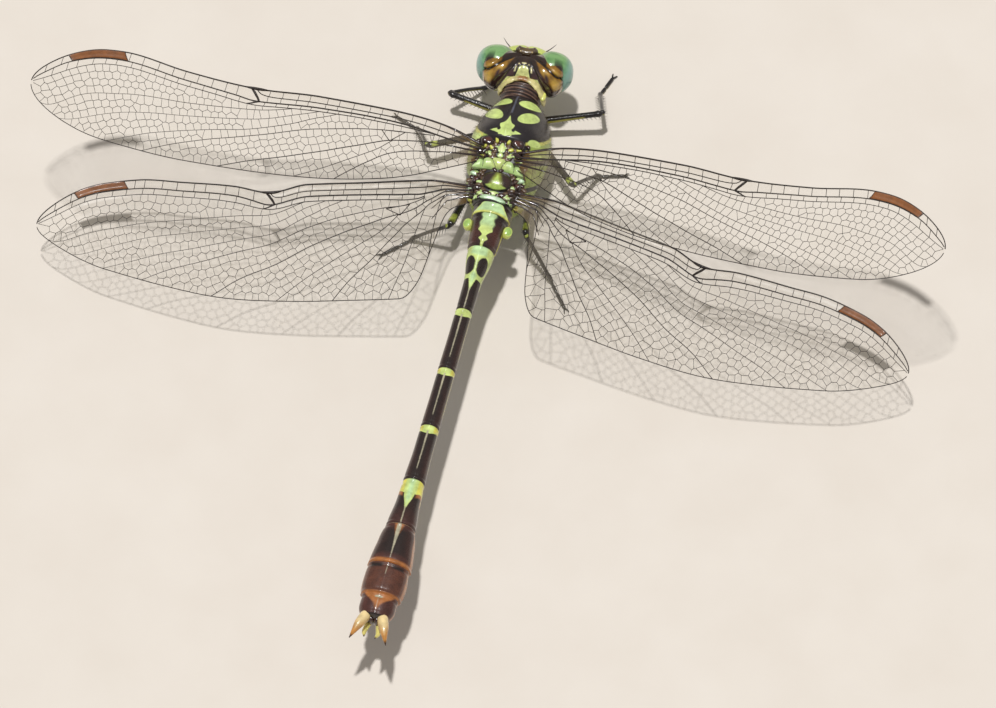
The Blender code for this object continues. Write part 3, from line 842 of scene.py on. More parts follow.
@dataclass
class Head:
    """The head: shell, two compound eyes, vertex with its ocelli, face, mouth and feelers.

    The head's own axes are right, forward and up, round the centre.
    """

    bench: Workbench
    centre: Triple = (-0.27, 10.0, 4.35)
    yaw: float = 4.7               # degrees, nose towards the left
    pitch: float = -12.0           # degrees, nose down
    width: float = 7.05            # across both eyes
    eye_radii: Triple = (1.64, 1.34, 1.62)
    eye_forward: float = 0.3
    eye_rise: float = 0.25
    # Distance from the middle, front, back, top and underside of the shell's section there
    sections: Table = (
        (0.0, 1.3, -1.1, 1.4, -1.3),
        (0.8, 1.42, -1.2, 1.52, -1.38),
        (1.55, 1.42, -1.36, 1.7, -1.45),
        (2.15, 1.14, -1.38, 1.7, -1.38),
        (2.6, 0.92, -1.22, 1.62, -1.05),
        (2.88, 0.56, -0.92, 1.28, -0.5),
        (3.02, 0.12, -0.52, 0.74, 0.0),
    )
    rotation: Matrix = field(init=False)

    def __post_init__(self) -> None:
        """Work out the head's turn from its yaw and pitch."""
        self.rotation = spun(self.yaw, "Z") @ spun(self.pitch, "X")

    def add(self, name: str, shape: Shape, *dress: object) -> None:
        """Carry a shape from the head's axes to the body's and make it a piece."""
        self.bench.add(name, (turned(shape[0], self.rotation, self.centre), shape[1]), *dress)

    def section(self, across: Array) -> tuple[Array, ...]:
        """Middle and half-size of the shell's section at a distance from the middle.

        Returns:
            Middle forward, middle up, half depth and half height.
        """
        front, back, top, under = columns(self.sections, abs(across))
        return 0.5 * (front + back), 0.5 * (top + under), 0.5 * (front - back), 0.5 * (top - under)

    def build(self) -> None:
        """Make every piece of the head."""
        self.build_shell()
        for side in Side:
            self.build_eye(side)
            self.build_feeler(side)
        self.build_vertex()
        self.build_face()
        self.build_mouth()

    def build_shell(self) -> None:
        """The head's shell with its two lobes on each side behind the eyes.

        An oval section is carried from side to side. Behind each eye a furrow parts a
        narrow upper lobe from a large lower one; both swell by a bell across them.
        """
        stops, around = 190, 240
        end = self.sections[-1][0]
        x = -end * np.cos(np.linspace(0.06, math.pi - 0.06, stops))[:, None]
        turn = circle(around, -math.pi)
        middle_y, middle_z, depth, height = self.section(x)
        cos, sin = oval(turn, 2.25)
        away = abs(x)
        angle = np.degrees(turn) + 0.0 * x
        reach = np.radians(angle) * 1.3
        furrow = np.minimum(-10.0 + 31.0 * (away - 0.65), 54.0) + 0.0 * turn
        past = np.radians(angle - furrow) * 1.3
        inner = 0.72 + (angle - 22.0) / 61.0 * 0.9
        arch = disc(away + 0.0 * reach, reach, (0.0, 0.84), (0.4, 0.4))
        arch = union(arch, overlap(0.38 + 0.3 * (reach - 0.84) - away, reach - 0.84))
        lobe_reach = smooth_step(away - inner, -0.1, 0.5) * smooth_step(away, end, end - 0.5)
        swell = (0.12 * hump(past, 0.85, 0.75) + 0.07 * hump(past, -0.28, 0.22)
                 - 0.15 * hump(past, 0.0, 0.12)) * lobe_reach
        swell -= 0.1 * hump(past, 0.02, 0.16) * hump(away, 2.62, 0.3)
        swell -= 0.1 * hump(away - inner, -0.12, 0.12) * band(angle, 5.0, 120.0).clip(0, 25) / 25
        swell += (0.05 * smooth_step(arch, -0.02, 0.08)
                  - 0.06 * hump(arch, -0.07, 0.05)) * (band(angle, 14.0, 76.0).clip(0, 8) / 8)
        y = middle_y - (depth + swell) * sin
        z = middle_z + (height + swell) * cos
        x = x * (1.0 - 0.07 * hump(past, 0.02, 0.2) * smooth_step(away, 2.1, 2.8))
        rings = np.stack([x, y, z], axis=-1)

        low_lobe = overlap(past - 0.09, 1.95 - past, away - inner - 0.42 + 0.2 * past, 2.86 - away)
        top_lobe = overlap(-past - 0.06, past + 0.73, away - 1.62, 2.9 - away)
        strip = overlap(band(-arch, 0.14, 0.32), band(reach, 0.95, 1.45))
        bright = union(disc(away, past, (2.48, 0.66), (0.36, 0.5)),
                       disc(away, past, (2.46, -0.22), (0.32, 0.14)),
                       disc(away, past, (1.62, 0.46), (0.3, 0.16), -30.0)) - 0.05
        # Painted shade: dark brown streaks down the folds of the lower lobes and over their lower
        # inner corner.
        smudge = union(stroke(away, past, (1.75, 0.6), (1.95, 1.15), 0.16),
                       stroke(away, past, (1.95, 1.5), (2.65, 1.05), 0.13),
                       overlap(inner + 0.62 - away, past - 0.75))
        plate = union(
            overlap(arch, reach - 0.3), overlap(inner - 0.24 - away, reach - 1.45)) + 0.0 * x
        # The ridge paint: a pale ridge round the plate, broken by gaps into dashes of painted
        # highlight.
        turn_round = np.degrees(np.arctan2(0.84 - reach, away))
        gaps = union(hump(turn_round, 38.0, 7.0), hump(turn_round, 66.0, 5.0))
        ridge = overlap(band(-arch, 0.13, 0.24), band(reach, 0.1, 1.02)) - 0.2 * gaps
        mark = union(overlap(band(-arch, 0.0, 0.12), band(reach, 0.15, 1.42)),
                     overlap(band(away - inner, -0.1, 0.02), reach - 0.1),
                     overlap(0.07 - abs(past), away - 0.9, 2.8 - away))
        fields = {"gold": union(low_lobe, top_lobe, strip), "bright": bright, "smudge": smudge,
                  "plate": plate, "ridge": ridge, "line": mark}
        self.add("head_shell", ring_solid(rings), HEAD_SHELL, fields, ("head",))

    def build_eye(self, side: Side) -> None:
        """One compound eye: an ellipsoid, lower towards the vertex, its rim at the shell."""
        lateral = side.value * (0.5 * self.width - self.eye_radii[0])
        shape = orb((lateral, self.eye_forward, self.eye_rise), self.eye_radii, 120, 84, 2.25)
        x, y, z = shape[0].T
        flatter = 0.24 * smooth_step(-abs(x), -1.85, -0.7) * (z > self.eye_rise)
        shape[0][:, 2] -= (z - self.eye_rise) * flatter
        x, y, z = shape[0].T
        middle_y, middle_z, depth, height = self.section(np.minimum(abs(x), 2.9))
        ratio = np.hypot((y - middle_y) / depth, (z - middle_z) / height)
        sink = 0.16 * smooth_step(-ratio, -1.04, -0.9) * smooth_step(-abs(x), -2.95, -2.75)
        centre = np.array([lateral, self.eye_forward, self.eye_rise])
        shape[0][:] = centre + (shape[0] - centre) * (1.0 - sink)[:, None]
        ratio = np.hypot(np.maximum(ratio - 1.0, 0.0), np.maximum(abs(x) - 2.8, 0.0) * 1.2)
        flank = 0.9 * (abs(x) - 2.7) - 0.5 * (z - 0.65)
        glow = 0.8 * (y - 1.3) + 0.25 * (abs(x) - 2.6)
        rim = (0.015 + 0.11 * smooth_step(-z, -0.9, 0.3) + 0.05 * smooth_step(abs(x), 2.7, 2.95)
               - ratio)
        # Painted shadow: a dark streak hugging the shell's edge beside the outer end of the upper
        # lobe.
        pupil = overlap(0.06 - abs(ratio - 0.03), band(abs(x), 2.2, 2.98), z - 0.45)
        self.add("eye_" + side.word, shape, EYE_GLASS,
                 {"flank": flank, "glow": glow, "rim": rim, "pupil": pupil}, ("eye_" + side.word,))

    def build_vertex(self) -> None:
        """The dark vertex between the eyes, an oval carried over two humps, and its ocelli."""
        x = np.linspace(-0.8, 0.8, 70)[:, None]
        turn = circle(60)
        away = abs(x)
        taper = np.sqrt(np.clip(1.0 - (away / 0.82) ** 4, 0.02, 1.0))
        height = (0.26 + 0.13 * hump(away, 0.56, 0.12) - 0.05 * hump(away, 0.0, 0.3)) * taper
        depth = (0.3 + 0.06 * hump(away, 0.6, 0.2)) * taper
        cos, sin = oval(turn, 2.3)
        rings = np.stack([np.broadcast_to(x, (70, 60)), 1.02 + 0.1 * away + depth * cos,
                          1.3 + height * sin], axis=-1)
        # A paler brown patch over the middle of the vertex.
        worn = disc(rings[..., 0], rings[..., 1], (0.0, 0.98), (0.6, 0.24))
        self.add("vertex", ring_solid(rings), VERTEX_SHELL, {"worn": worn})
        lenses = ((-0.42, 0.84, 1.5, 0.075), (0.42, 0.84, 1.5, 0.075), (0.0, 1.3, 1.42, 0.09))
        beads = [orb(place, [radius] * 3, 18, 11) for *place, radius in lenses]
        self.add("ocelli", merged(*beads), OCELLUS_GLASS)

    def build_face(self) -> None:
        """Frons and clypeus: a squared ellipsoid with a shelf and a furrow across it."""
        shape = orb((0.0, 1.18, 0.12), (1.84, 0.98, 1.18), 110, 80, 2.4)
        points = shape[0]
        x, y, z = points.T
        forward = smooth_step(y, 1.05, 1.75)
        points[:, 1] -= forward * (0.12 * hump(z, -0.18, 0.1) + 0.1 * hump(z, -0.72, 0.1))
        points[:, 1] -= 0.1 * forward * hump(x, 0.0, 0.18) * smooth_step(z, 0.0, 0.6)
        line = overlap(union(0.06 - abs(z + 0.18), 0.05 - abs(z + 0.72),
                             overlap(0.1 - abs(y - 1.02), z)), 1.25 - abs(x))
        self.add("frons", shape, FACE_SHELL, {"line": line}, ("face",))

    def build_mouth(self) -> None:
        """Labrum, jaws and lower lip: three swellings under the face, joined in one piece."""
        lip = orb((0.0, 1.3, -1.05), (1.05, 0.42, 0.42), 60, 30, 2.4)
        jaws = [
            orb((side.value * 0.98, 0.95, -1.2), (0.42, 0.62, 0.62), 40, 30, 2.2) for side in Side]
        chin = orb((0.0, 0.6, -1.4), (1.05, 0.85, 0.66), 60, 36, 2.3)
        shape = merged(lip, *jaws, chin)
        x, y, z = shape[0].T
        line = union(0.05 - abs(z + 0.86) - 0.3 * (y < 1.2), 0.06 - abs(z + 1.42),
                     overlap(0.04 - abs(x), -0.9 - z))
        self.add("mouthparts", shape, MOUTH_SHELL, {"line": line}, ("mouth",))

    def build_feeler(self, side: Side) -> None:
        """One feeler: two stout joints and a bristle that thins to its tip."""
        out = side.value
        stations = [(out * 0.6, 1.0, 0.98), (out * 1.0, 1.55, 0.72), (out * 1.5, 2.2, 0.52),
                    (out * 1.92, 2.86, 0.46)]
        share = np.array(
            [0.0, 0.02, 0.1, 0.13, 0.14, 0.16, 0.24, 0.27, 0.28, 0.3, 0.45, 0.6, 0.75, 0.9, 1.0])
        radius = np.array([0.1, 0.14, 0.15, 0.11, 0.08, 0.11, 0.12, 0.09, 0.05, 0.05, 0.045, 0.04,
                           0.03, 0.022, 0.012])
        path = spline(stations, 200)[np.round(share * 199).astype(int)]
        shape = bundle(path[None], radius[None], 14)
        self.add("feeler_" + side.word, shape, FEELER_SHELL, None, ("antenna_" + side.word,))


# Neck and thorax

@dataclass
class Neck:
    """The first ring of the thorax, folded and brown, with its yellow collar."""

    bench: Workbench
    # Distance along the body, half width, top and underside
    stations: Table = (
        (9.3, 0.55, 4.8, 3.7), (8.95, 0.8, 5.06, 3.2), (8.7, 1.2, 5.3, 2.7), (8.4, 1.48, 5.4, 2.3),
        (8.12, 1.42, 5.3, 2.15), (7.92, 1.46, 5.36, 2.25), (7.62, 1.2, 5.2, 2.9))
    fold_pitch: float = 0.27
    collar_radius: float = 0.27

    def build(self) -> None:
        """Make the folded ring and the collar."""
        stops, around = 110, 150
        y = np.linspace(9.28, 7.6, stops)[:, None]
        turn = circle(around)
        half, top, under = columns(self.stations, y)
        cos, sin = oval(turn, 2.2)
        phase = (y - 7.6) / self.fold_pitch * math.tau + 1.1 * cos
        wave = 0.7 * np.sin(phase + 0.8 * np.sin(3.1 * turn)) + 0.4 * np.sin(1.63 * phase + 2.0)
        fold = 0.042 * wave * smooth_step(sin, -0.2, 0.5) * smooth_step(y, 9.2, 8.8)
        x = AXIS_X - 0.22 + (half + fold) * cos
        z = 0.5 * (top + under) + (0.5 * (top - under) + fold) * sin
        rings = np.stack([x, np.broadcast_to(y, x.shape), z], axis=-1)
        # Painted light: paler brown on the crests of the folds as painted highlight, dark in the
        # grooves as painted shade.
        crest = 0.5 * (wave - 0.55) * 0.12 + 0.0 * x
        groove_shade = 0.5 * (-wave - 0.75) * 0.12 + 0.0 * x
        self.bench.add("neck_folds", ring_solid(rings), NECK_SHELL,
                       {"fold": crest, "line": groove_shade}, ("prothorax",))
        arch = [(-1.7, 8.2, 3.8), (-1.62, 8.46, 4.45), (-1.28, 8.74, 4.98), (-0.72, 8.98, 5.28),
                (-0.08, 9.08, 5.36), (0.52, 8.96, 5.28), (1.06, 8.7, 5.02), (1.48, 8.34, 4.5),
                (1.7, 8.02, 3.8)]
        path = spline(arch, 60)
        share = np.linspace(-1.0, 1.0, 60)
        radius = self.collar_radius * (
            0.66 + 0.5 * hump(abs(share), 0.8, 0.22) + 0.22 * hump(abs(share), 0.4, 0.12))
        radius *= 1.0 + 0.07 * np.sin(31.0 * share) + 0.06 * np.sin(57.0 * share + 1.0)
        radius *= np.sqrt(np.clip(1.0 - abs(share) ** 12, 0.03, 1.0))
        points, faces = bundle(path[None], radius[None], 24, (0.0, 1.0, 0.15))
        offset = points.reshape(60, 24, 3) - path[:, None]
        lift = path - np.array([AXIS_X - 0.22, 8.5, 3.6])
        lift[:, 1] = 0.0
        lift /= np.linalg.norm(lift, axis=1, keepdims=True)
        height = (offset * lift[:, None]).sum(-1, keepdims=True)
        crease = 0.25 * np.sin(offset[..., 1:2] / 0.05)
        offset = offset - lift[:, None] * height * (0.42 + 0.1 * crease)
        offset[..., 1] *= 1.22
        points = (path[:, None] + offset).reshape(-1, 3)
        middle = np.repeat(0.16 - abs(share + 0.02), 24) * 2.0
        lobes = merged(*(orb(place, (0.2, 0.36, 0.12), 30, 20)
                         for place in ((-1.66, 8.6, 4.05), (1.54, 8.32, 4.66))))
        self.bench.add("collar", (points, faces), COLLAR_SHELL, {"middle": middle})
        self.bench.add(
            "collar_lobes", lobes, PLATE_YELLOW, {"heart": np.full(len(lobes[0]), 0.06)})


@dataclass(frozen=True)
class Plate:
    """A small shell plate between the wings: a low dome on the thorax's back."""

    name: str
    finish: Cuticle
    centre: Pair
    size: Pair
    turn: float = 0.0
    lift: float = 0.1             # how far its crown stands over the thorax
    height: float = 0.28           # half thickness


@dataclass
class Thorax:
    """The winged thorax: shell with its markings, plates and knobs between the wings."""

    bench: Workbench
    # Distance along the body, half width, top and underside
    stations: Table = (
        (7.72, 1.22, 5.15, 3.4), (7.35, 1.66, 5.45, 2.5), (6.4, 2.28, 5.95, 1.85),
        (5.1, 2.74, 6.5, 1.6), (3.8, 2.86, 6.95, 1.55), (2.4, 2.72, 6.88, 1.62),
        (0.9, 2.45, 6.62, 1.9), (-0.6, 2.05, 6.42, 2.45), (-1.92, 1.36, 6.22, 3.5))
    power: float = 2.35
    taper: float = 0.16
    crest_start: float = 3.25      # where the back falls from the crest to the wing bases
    well_depth: float = 0.42

    def middle(self, y: Array) -> Array:
        """X of the markings' middle line: a little left in front, true at the back."""
        return AXIS_X - 0.24 * smooth_step(y, -0.8, 2.4)

    def surface(self, y: Array, turn: Array) -> tuple[Array, Array]:
        """X and Z of the shell at a distance along the body and an angle round it.

        An oval, narrower above, with a keel in front and a well between the wings.
        """
        half, top, under = columns(self.stations, y)
        cos, sin = oval(turn, self.power)
        x = AXIS_X + half * cos * (1.0 - self.taper * sin)
        z = 0.5 * (top + under) + 0.5 * (top - under) * sin
        beside = x - self.middle(y)
        upper = smooth_step(sin, 0.35, 0.75)
        well = smooth_step(
            -y, -self.crest_start, -self.crest_start + 0.55) * smooth_step(y, -1.95, -1.2)
        z = z - upper * self.well_depth * well * hump(beside, 0.0, 2.0)
        keel = hump(beside, 0.0, 0.11) * smooth_step(y, 3.2, 3.9) * smooth_step(-y, -7.7, -7.2)
        z = z + 0.09 * keel * upper
        return x, z

    def height_at(self, x: float, y: float) -> float:
        """Height of the thorax's back at a place, read from a fine row of its points."""
        turn = np.linspace(0.05, math.pi - 0.05, 600)
        row_x, row_z = self.surface(np.full(600, y), turn)
        order = np.argsort(row_x)
        return float(np.interp(x, row_x[order], row_z[order]))

    def build(self) -> None:
        """Make the shell with its seams, the plates, the hinge plates, the fan, the dome and the
        fine hair.
        """
        self.build_shell()
        for plate in self.plates():
            self.build_plate(plate)
        self.build_fragments()
        self.build_fan()
        self.build_dome()
        self.build_hair()

    def build_shell(self) -> None:
        """The shell, with pairs of oval spots, a crowned mark, and striped sides."""
        stops, around = 270, 360
        y = (2.9 - 4.8 * np.cos(np.linspace(0.07, math.pi - 0.07, stops)))[:, None]
        turn = circle(around)
        x, z = self.surface(y + 0.0 * turn, turn + 0.0 * y)
        y = np.broadcast_to(y, x.shape)
        seams = self.seams(x, y, z)
        push = 1.0 - 0.014 * np.clip(seams / 0.1, 0.0, 1.0)
        x = AXIS_X + (x - AXIS_X) * push
        rings = np.stack([x, y, z], axis=-1)
        self.bench.add("thorax_shell", ring_solid(rings), THORAX_SHELL,
                       self.markings(x, y, z, seams), ("thorax",))

    def seams(self, x: Array, y: Array, z: Array) -> Array:
        """Field of the slanting side seams, each a stroke in the side view."""
        flank = smooth_step(abs(x - AXIS_X), 1.5, 1.9) - 0.999
        lines = union(
            stroke(y, z, (6.9, 2.6), (3.7, 6.2), 0.2), stroke(y, z, (5.4, 1.5), (1.9, 6.0), 0.2),
            stroke(y, z, (3.4, 1.6), (-0.5, 5.8), 0.18),
            stroke(y, z, (2.0, 2.2), (4.4, 2.6), 0.08),
            stroke(y, z, (-0.4, 2.9), (1.2, 3.0), 0.08))
        return np.where(flank > -0.5, lines, -1.0)

    def markings(self, x: Array, y: Array, z: Array, seams: Array) -> dict[str, Array]:
        """All marking fields of the shell, in the view from above and from the side."""
        beside = x - self.middle(y)
        away = abs(beside)
        shoulder = (z - (2.6 + (6.9 - y) * 1.125)) * 0.66
        behind = -shoulder - 0.12
        # Behind the front, the green side stops at this wavy line; the flank above it, under the
        # wing roots, stays dark, partly as a dark stripe and partly as painted shade.
        wavy = 4.7 - z + 0.35 * (y - 0.5) + 0.2 * np.sin(5.0 * y)
        side = union(overlap(behind, away - 1.2, z - 1.75), overlap(2.9 - y, away - 1.9, wavy),
                     2.35 - z)
        mint = overlap(side, band(z, 1.0, 3.2))
        rim = overlap(0.1 - abs(shoulder + 0.22), away - 1.6, 5.6 - y)
        front = overlap(z - 4.2, y - 2.6)
        first = disc(away, y, (1.06, 6.84), (0.8, 0.44), 4.0)
        second = disc(away, y, (1.27, 5.42), (0.85, 0.5), 40.0)
        crown = ((3.2, 0.5), (3.95, 0.48), (4.22, 0.54), (4.42, 0.3), (4.65, 0.16), (4.95, 0.07),
                 (5.2, 0.0))
        spike = overlap(curve(crown, y) - away, band(y, 3.3, 5.18))
        base = band(y, 3.2 + 0.4 * away, 3.97 - 0.26 * away)
        lime = overlap(union(first, second, spike, base), front)
        patch = union(disc(away, y, (2.15, 3.45), (0.48, 0.26), 35.0),
                      disc(away, y, (2.35, 2.75), (0.48, 0.24), 35.0))
        lime = union(lime, overlap(patch, z - 4.5))
        dots = overlap(disc(away, y, (0.53, 3.8), (0.13, 0.15)), front)
        # Painted sheen: a slate-blue band along the keel of the front.
        carina = overlap(0.07 - away, y - 5.5, z - 4.5)
        well = overlap(self.crest_start - 0.05 - y, 1.95 - away, z - 5.0)
        return {"side": overlap(side, -well), "mint": mint, "suture": seams, "rim": rim,
                "carina": carina, "lime": lime, "dot": dots}

    def plates(self) -> list[Plate]:
        """The paired and single plates of the back, as they lie between the wings."""
        found = [
            Plate("shield_front", PLATE_GREEN, (-0.2, 2.4), (0.33, 0.46), 0.0, 0.16, 0.22),
            Plate("shield_rear", PLATE_GREEN, (-0.2, 1.84), (0.26, 0.24), 0.0, 0.14, 0.2),
            Plate("waist_plate", PLATE_GREEN, (0.02, -1.08), (0.5, 0.2), 0.0, 0.1, 0.16),
            Plate("waist_bar", PLATE_MINT, (0.05, -1.56), (0.92, 0.22), -3.0, 0.12, 0.18),
        ]
        paired = [
            ("fore_knob", PLATE_DARK, (1.1, 2.84), (0.48, 0.36), -14.0, 0.32, 0.34),
            ("fore_spot", PLATE_YELLOW, (0.44, 2.9), (0.12, 0.2), -20.0, 0.16, 0.14),
            ("shield_spot", PLATE_YELLOW, (0.7, 2.34), (0.2, 0.13), 30.0, 0.18, 0.15),
            ("root_spot", PLATE_YELLOW, (1.26, 2.4), (0.2, 0.13), -20.0, 0.3, 0.16),
            ("outer_spot", PLATE_YELLOW, (1.84, 2.56), (0.16, 0.11), -20.0, 0.22, 0.14),
            ("corner_plate", PLATE_GREEN, (0.72, 1.88), (0.3, 0.2), 35.0, 0.14, 0.16),
            ("bridge_plate", PLATE_DARK, (1.3, 2.02), (0.42, 0.18), -25.0, 0.28, 0.22),
            ("wing_spot", PLATE_YELLOW, (1.32, 1.6), (0.17, 0.15), 0.0, 0.3, 0.18),
            ("mid_knob", PLATE_DARK, (1.58, 0.96), (0.36, 0.3), 15.0, 0.26, 0.28),
            ("side_plate", PLATE_MINT, (1.62, 0.44), (0.34, 0.22), 20.0, 0.16, 0.18),
            ("hind_knob", PLATE_DARK, (1.5, -0.12), (0.3, 0.32), 0.0, 0.32, 0.3),
            ("hind_wedge", PLATE_DARK, (1.12, -0.72), (0.34, 0.2), -30.0, 0.22, 0.22),
            ("waist_corner", PLATE_GREEN, (0.92, -1.1), (0.4, 0.2), -38.0, 0.12, 0.16),
            ("waist_spot", PLATE_YELLOW, (1.62, -1.42), (0.24, 0.17), 25.0, 0.26, 0.2),
            ("waist_mint", PLATE_MINT, (1.86, -0.62), (0.22, 0.16), 40.0, 0.2, 0.18),
        ]
        for name, finish, centre, size, turn, lift, height in paired:
            for side in Side:
                middle = float(self.middle(np.array(centre[1]))) - AXIS_X
                found.append(Plate(f"{name}_{side.word}", finish,
                                   (side.value * centre[0] + middle, centre[1]), size,
                                   side.value * turn, lift, height))
        return found

    def build_plate(self, plate: Plate) -> None:
        """One plate: a squared, slightly lumpy ellipsoid set on the back."""
        points, faces = orb((0.0, 0.0, 0.0), (1.0, 1.0, 1.0), 52, 30, 3.0)
        seed = sum(map(ord, plate.name.rsplit("_", 1)[0]))
        lumps = np.sin(3.1 * points[:, 0] + seed) * np.sin(2.7 * points[:, 1] + 0.7 * seed)
        points *= 1.0 + (0.17 if plate.finish is PLATE_DARK else 0.13) * lumps[:, None]
        x, y = plate.centre[0] + AXIS_X, plate.centre[1]
        # On the dark knobs the heart is a painted highlight, kept smaller than on the pale plates.
        inset = 0.2 if plate.finish is PLATE_DARK else 0.1
        heart = (1.0 - np.hypot(points[:, 0], points[:, 1])) * min(plate.size) - inset
        line = 0.03 - (1.0 - np.hypot(points[:, 0], points[:, 1])) * min(plate.size)
        size = np.array([plate.size[0], plate.size[1], plate.height])
        points = turned(points * size, spun(plate.turn, "Z"),
                        (x, y, self.height_at(x, y) + plate.lift - plate.height))
        fields = {paint.field_name: heart if paint.field_name == "heart" else line
                  for paint in plate.finish.paints}
        self.bench.add(plate.name, (points, faces), plate.finish, fields)

    def build_fragments(self) -> None:
        """Many small hinge plates round the wing roots, brown, olive and pale.

        Each is a low ellipsoid at a seeded random place, mirrored to the other side.
        """
        # Their number and dark tones let the plates cover the floor of the well, partly as painted
        # shade there.
        rng = np.random.default_rng(SEED + 5)
        finishes = (PLATE_DARK, HINGE_SHELL, PLATE_DARK, HINGE_SHELL, PLATE_GREEN)
        heaps: dict[str, list] = {}
        for number in range(120):
            out = rng.uniform(0.1, 1.95)
            y = rng.uniform(-1.55, 3.02)
            size = rng.uniform((0.12, 0.08), (0.34, 0.18))
            turn = rng.uniform(-70.0, 70.0)
            finish = finishes[number % len(finishes)]
            for side in Side:
                x = side.value * out + float(self.middle(np.array(y)))
                points, faces = orb((0.0, 0.0, 0.0), (*size, 0.1), 18, 10, 2.8)
                place = (x, y, self.height_at(x, y) + 0.03)
                heaps.setdefault(finish.name, []).append(
                    (turned(points, spun(side.value * turn, "Z"), place), faces))
        for finish in (PLATE_DARK, HINGE_SHELL, PLATE_GREEN):
            shape = merged(*heaps[finish.name])
            fields = {paint.field_name: np.full(len(shape[0]), -0.06) for paint in finish.paints}
            self.bench.add("hinges_" + finish.name, shape, finish, fields)

    def build_fan(self) -> None:
        """The pale fan before the dome: an arched sheet, crowned and cut by dark seams."""
        across = np.linspace(-1.0, 1.0, 150)[None, :]
        along = even(60)[:, None]
        x = across * (1.45 + 0.45 * along)
        y = 1.58 - 0.68 * along - 0.36 * abs(across) ** 1.6 + 0.0 * x
        centre = self.middle(y)
        seam = union(0.03 - abs(abs(x) - 0.54 + 0.34 * along), 0.025 - abs(abs(x) - 1.14))
        crown = 0.2 * np.sqrt(np.clip(np.sin(math.pi * (0.08 + 0.84 * along)), 0.0, 1.0))
        crown = crown * (1.0 - 0.55 * abs(across) ** 3) - 0.13 * smooth_step(seam, -0.2, 0.03)
        half, top, _ = columns(self.stations, y)
        base = top - self.well_depth * hump(x, 0.0, 2.0) - 0.1 * (x / half) ** 2 * half
        upper = np.stack([x + centre, y, base + 0.06 + crown], axis=-1)
        lower = upper - np.array([0.0, 0.0, 0.35])
        rings = folded(upper, lower)
        line = folded(seam, seam)
        heart = np.concatenate([0.1 - abs(across) * 0.3 + 0.0 * x] * 2, axis=1)
        self.bench.add(
            "fan_plates", ring_solid(rings), PLATE_GREEN, {"heart": heart, "line": line})

    def build_dome(self) -> None:
        """The round dome between the hind wings, dark with a yellow-green middle."""
        centre_x, centre_y = AXIS_X + 0.02, -0.12
        base = self.height_at(centre_x, centre_y)
        shape = orb((centre_x, centre_y, base - 0.05), (1.1, 0.76, 0.48), 120, 70, 2.2)
        x, y, _ = shape[0].T
        across, along = x - centre_x, y - centre_y
        heart = overlap(0.14 + 0.34 * (0.45 - along) - abs(across), 0.5 - along)
        lime = overlap(union(-0.42 - along - 0.1 * abs(across), heart - 0.16), 0.95 - abs(across))
        line = 0.035 - (1.0 - np.hypot(across / 1.1, along / 0.76)) * 0.76
        self.bench.add(
            "rear_dome", shape, DOME_SHELL, {"heart": heart, "lime": lime, "line": line})

    def build_hair(self) -> None:
        """Short fine hair over the front, the flanks and the underside.

        Each is a three-sided cone with one bend, leaning back and down from a random root,
        whose place along and round is its patch on the map OFBake.
        """
        rng = np.random.default_rng(SEED)
        count = 3600
        y = rng.uniform(-1.2, 7.4, count)
        turn = rng.uniform(-math.pi, math.pi, count)
        x, z = self.surface(y, turn)
        top = smooth_step(np.sin(turn), 0.55, 0.8)
        keep = rng.random(count) > np.where(y < 3.4, top, 0.92 * top)
        x, y, z, turn = x[keep], y[keep], z[keep], turn[keep]
        roots = np.stack([x, y, z], axis=1)
        normal = np.stack([np.cos(turn), 0.25 * (y - 3.0) / 4.5, np.sin(turn)], axis=1)
        normal /= np.linalg.norm(normal, axis=1, keepdims=True)
        lean = np.array([0.0, -0.45, -0.3]) + rng.normal(0.0, 0.22, (len(x), 3))
        length = rng.uniform(0.12, 0.3, len(x))[:, None]
        first = roots + (normal + 0.35 * lean) * length * 0.5
        last = first + (normal * 0.7 + 0.9 * lean) * length * 0.5
        paths = np.stack([roots - normal * 0.03, first, last], axis=1)
        radii = np.tile(np.array([0.006, 0.005, 0.002]), (len(x), 1))
        shape = bundle(paths, radii, 3, (0.31, 0.17, 0.93))
        piece = self.bench.add("thorax_hair", shape, HAIR_SHELL)
        place_u = 0.02 + 0.96 * (y + 1.2) / 8.6
        place_v = 0.02 + 0.96 * (turn + math.pi) / math.tau
        self.bench.bake_map(piece, np.stack([place_u, place_v], axis=1))


# Abdomen

@dataclass(frozen=True)
class Ring:
    """One ring of the tail: its length, then half width and half height at three places."""

    name: str
    length: float
    front: Pair
    middle: Pair
    rear: Pair
    flare: float = 0.0             # how far its side edges spread


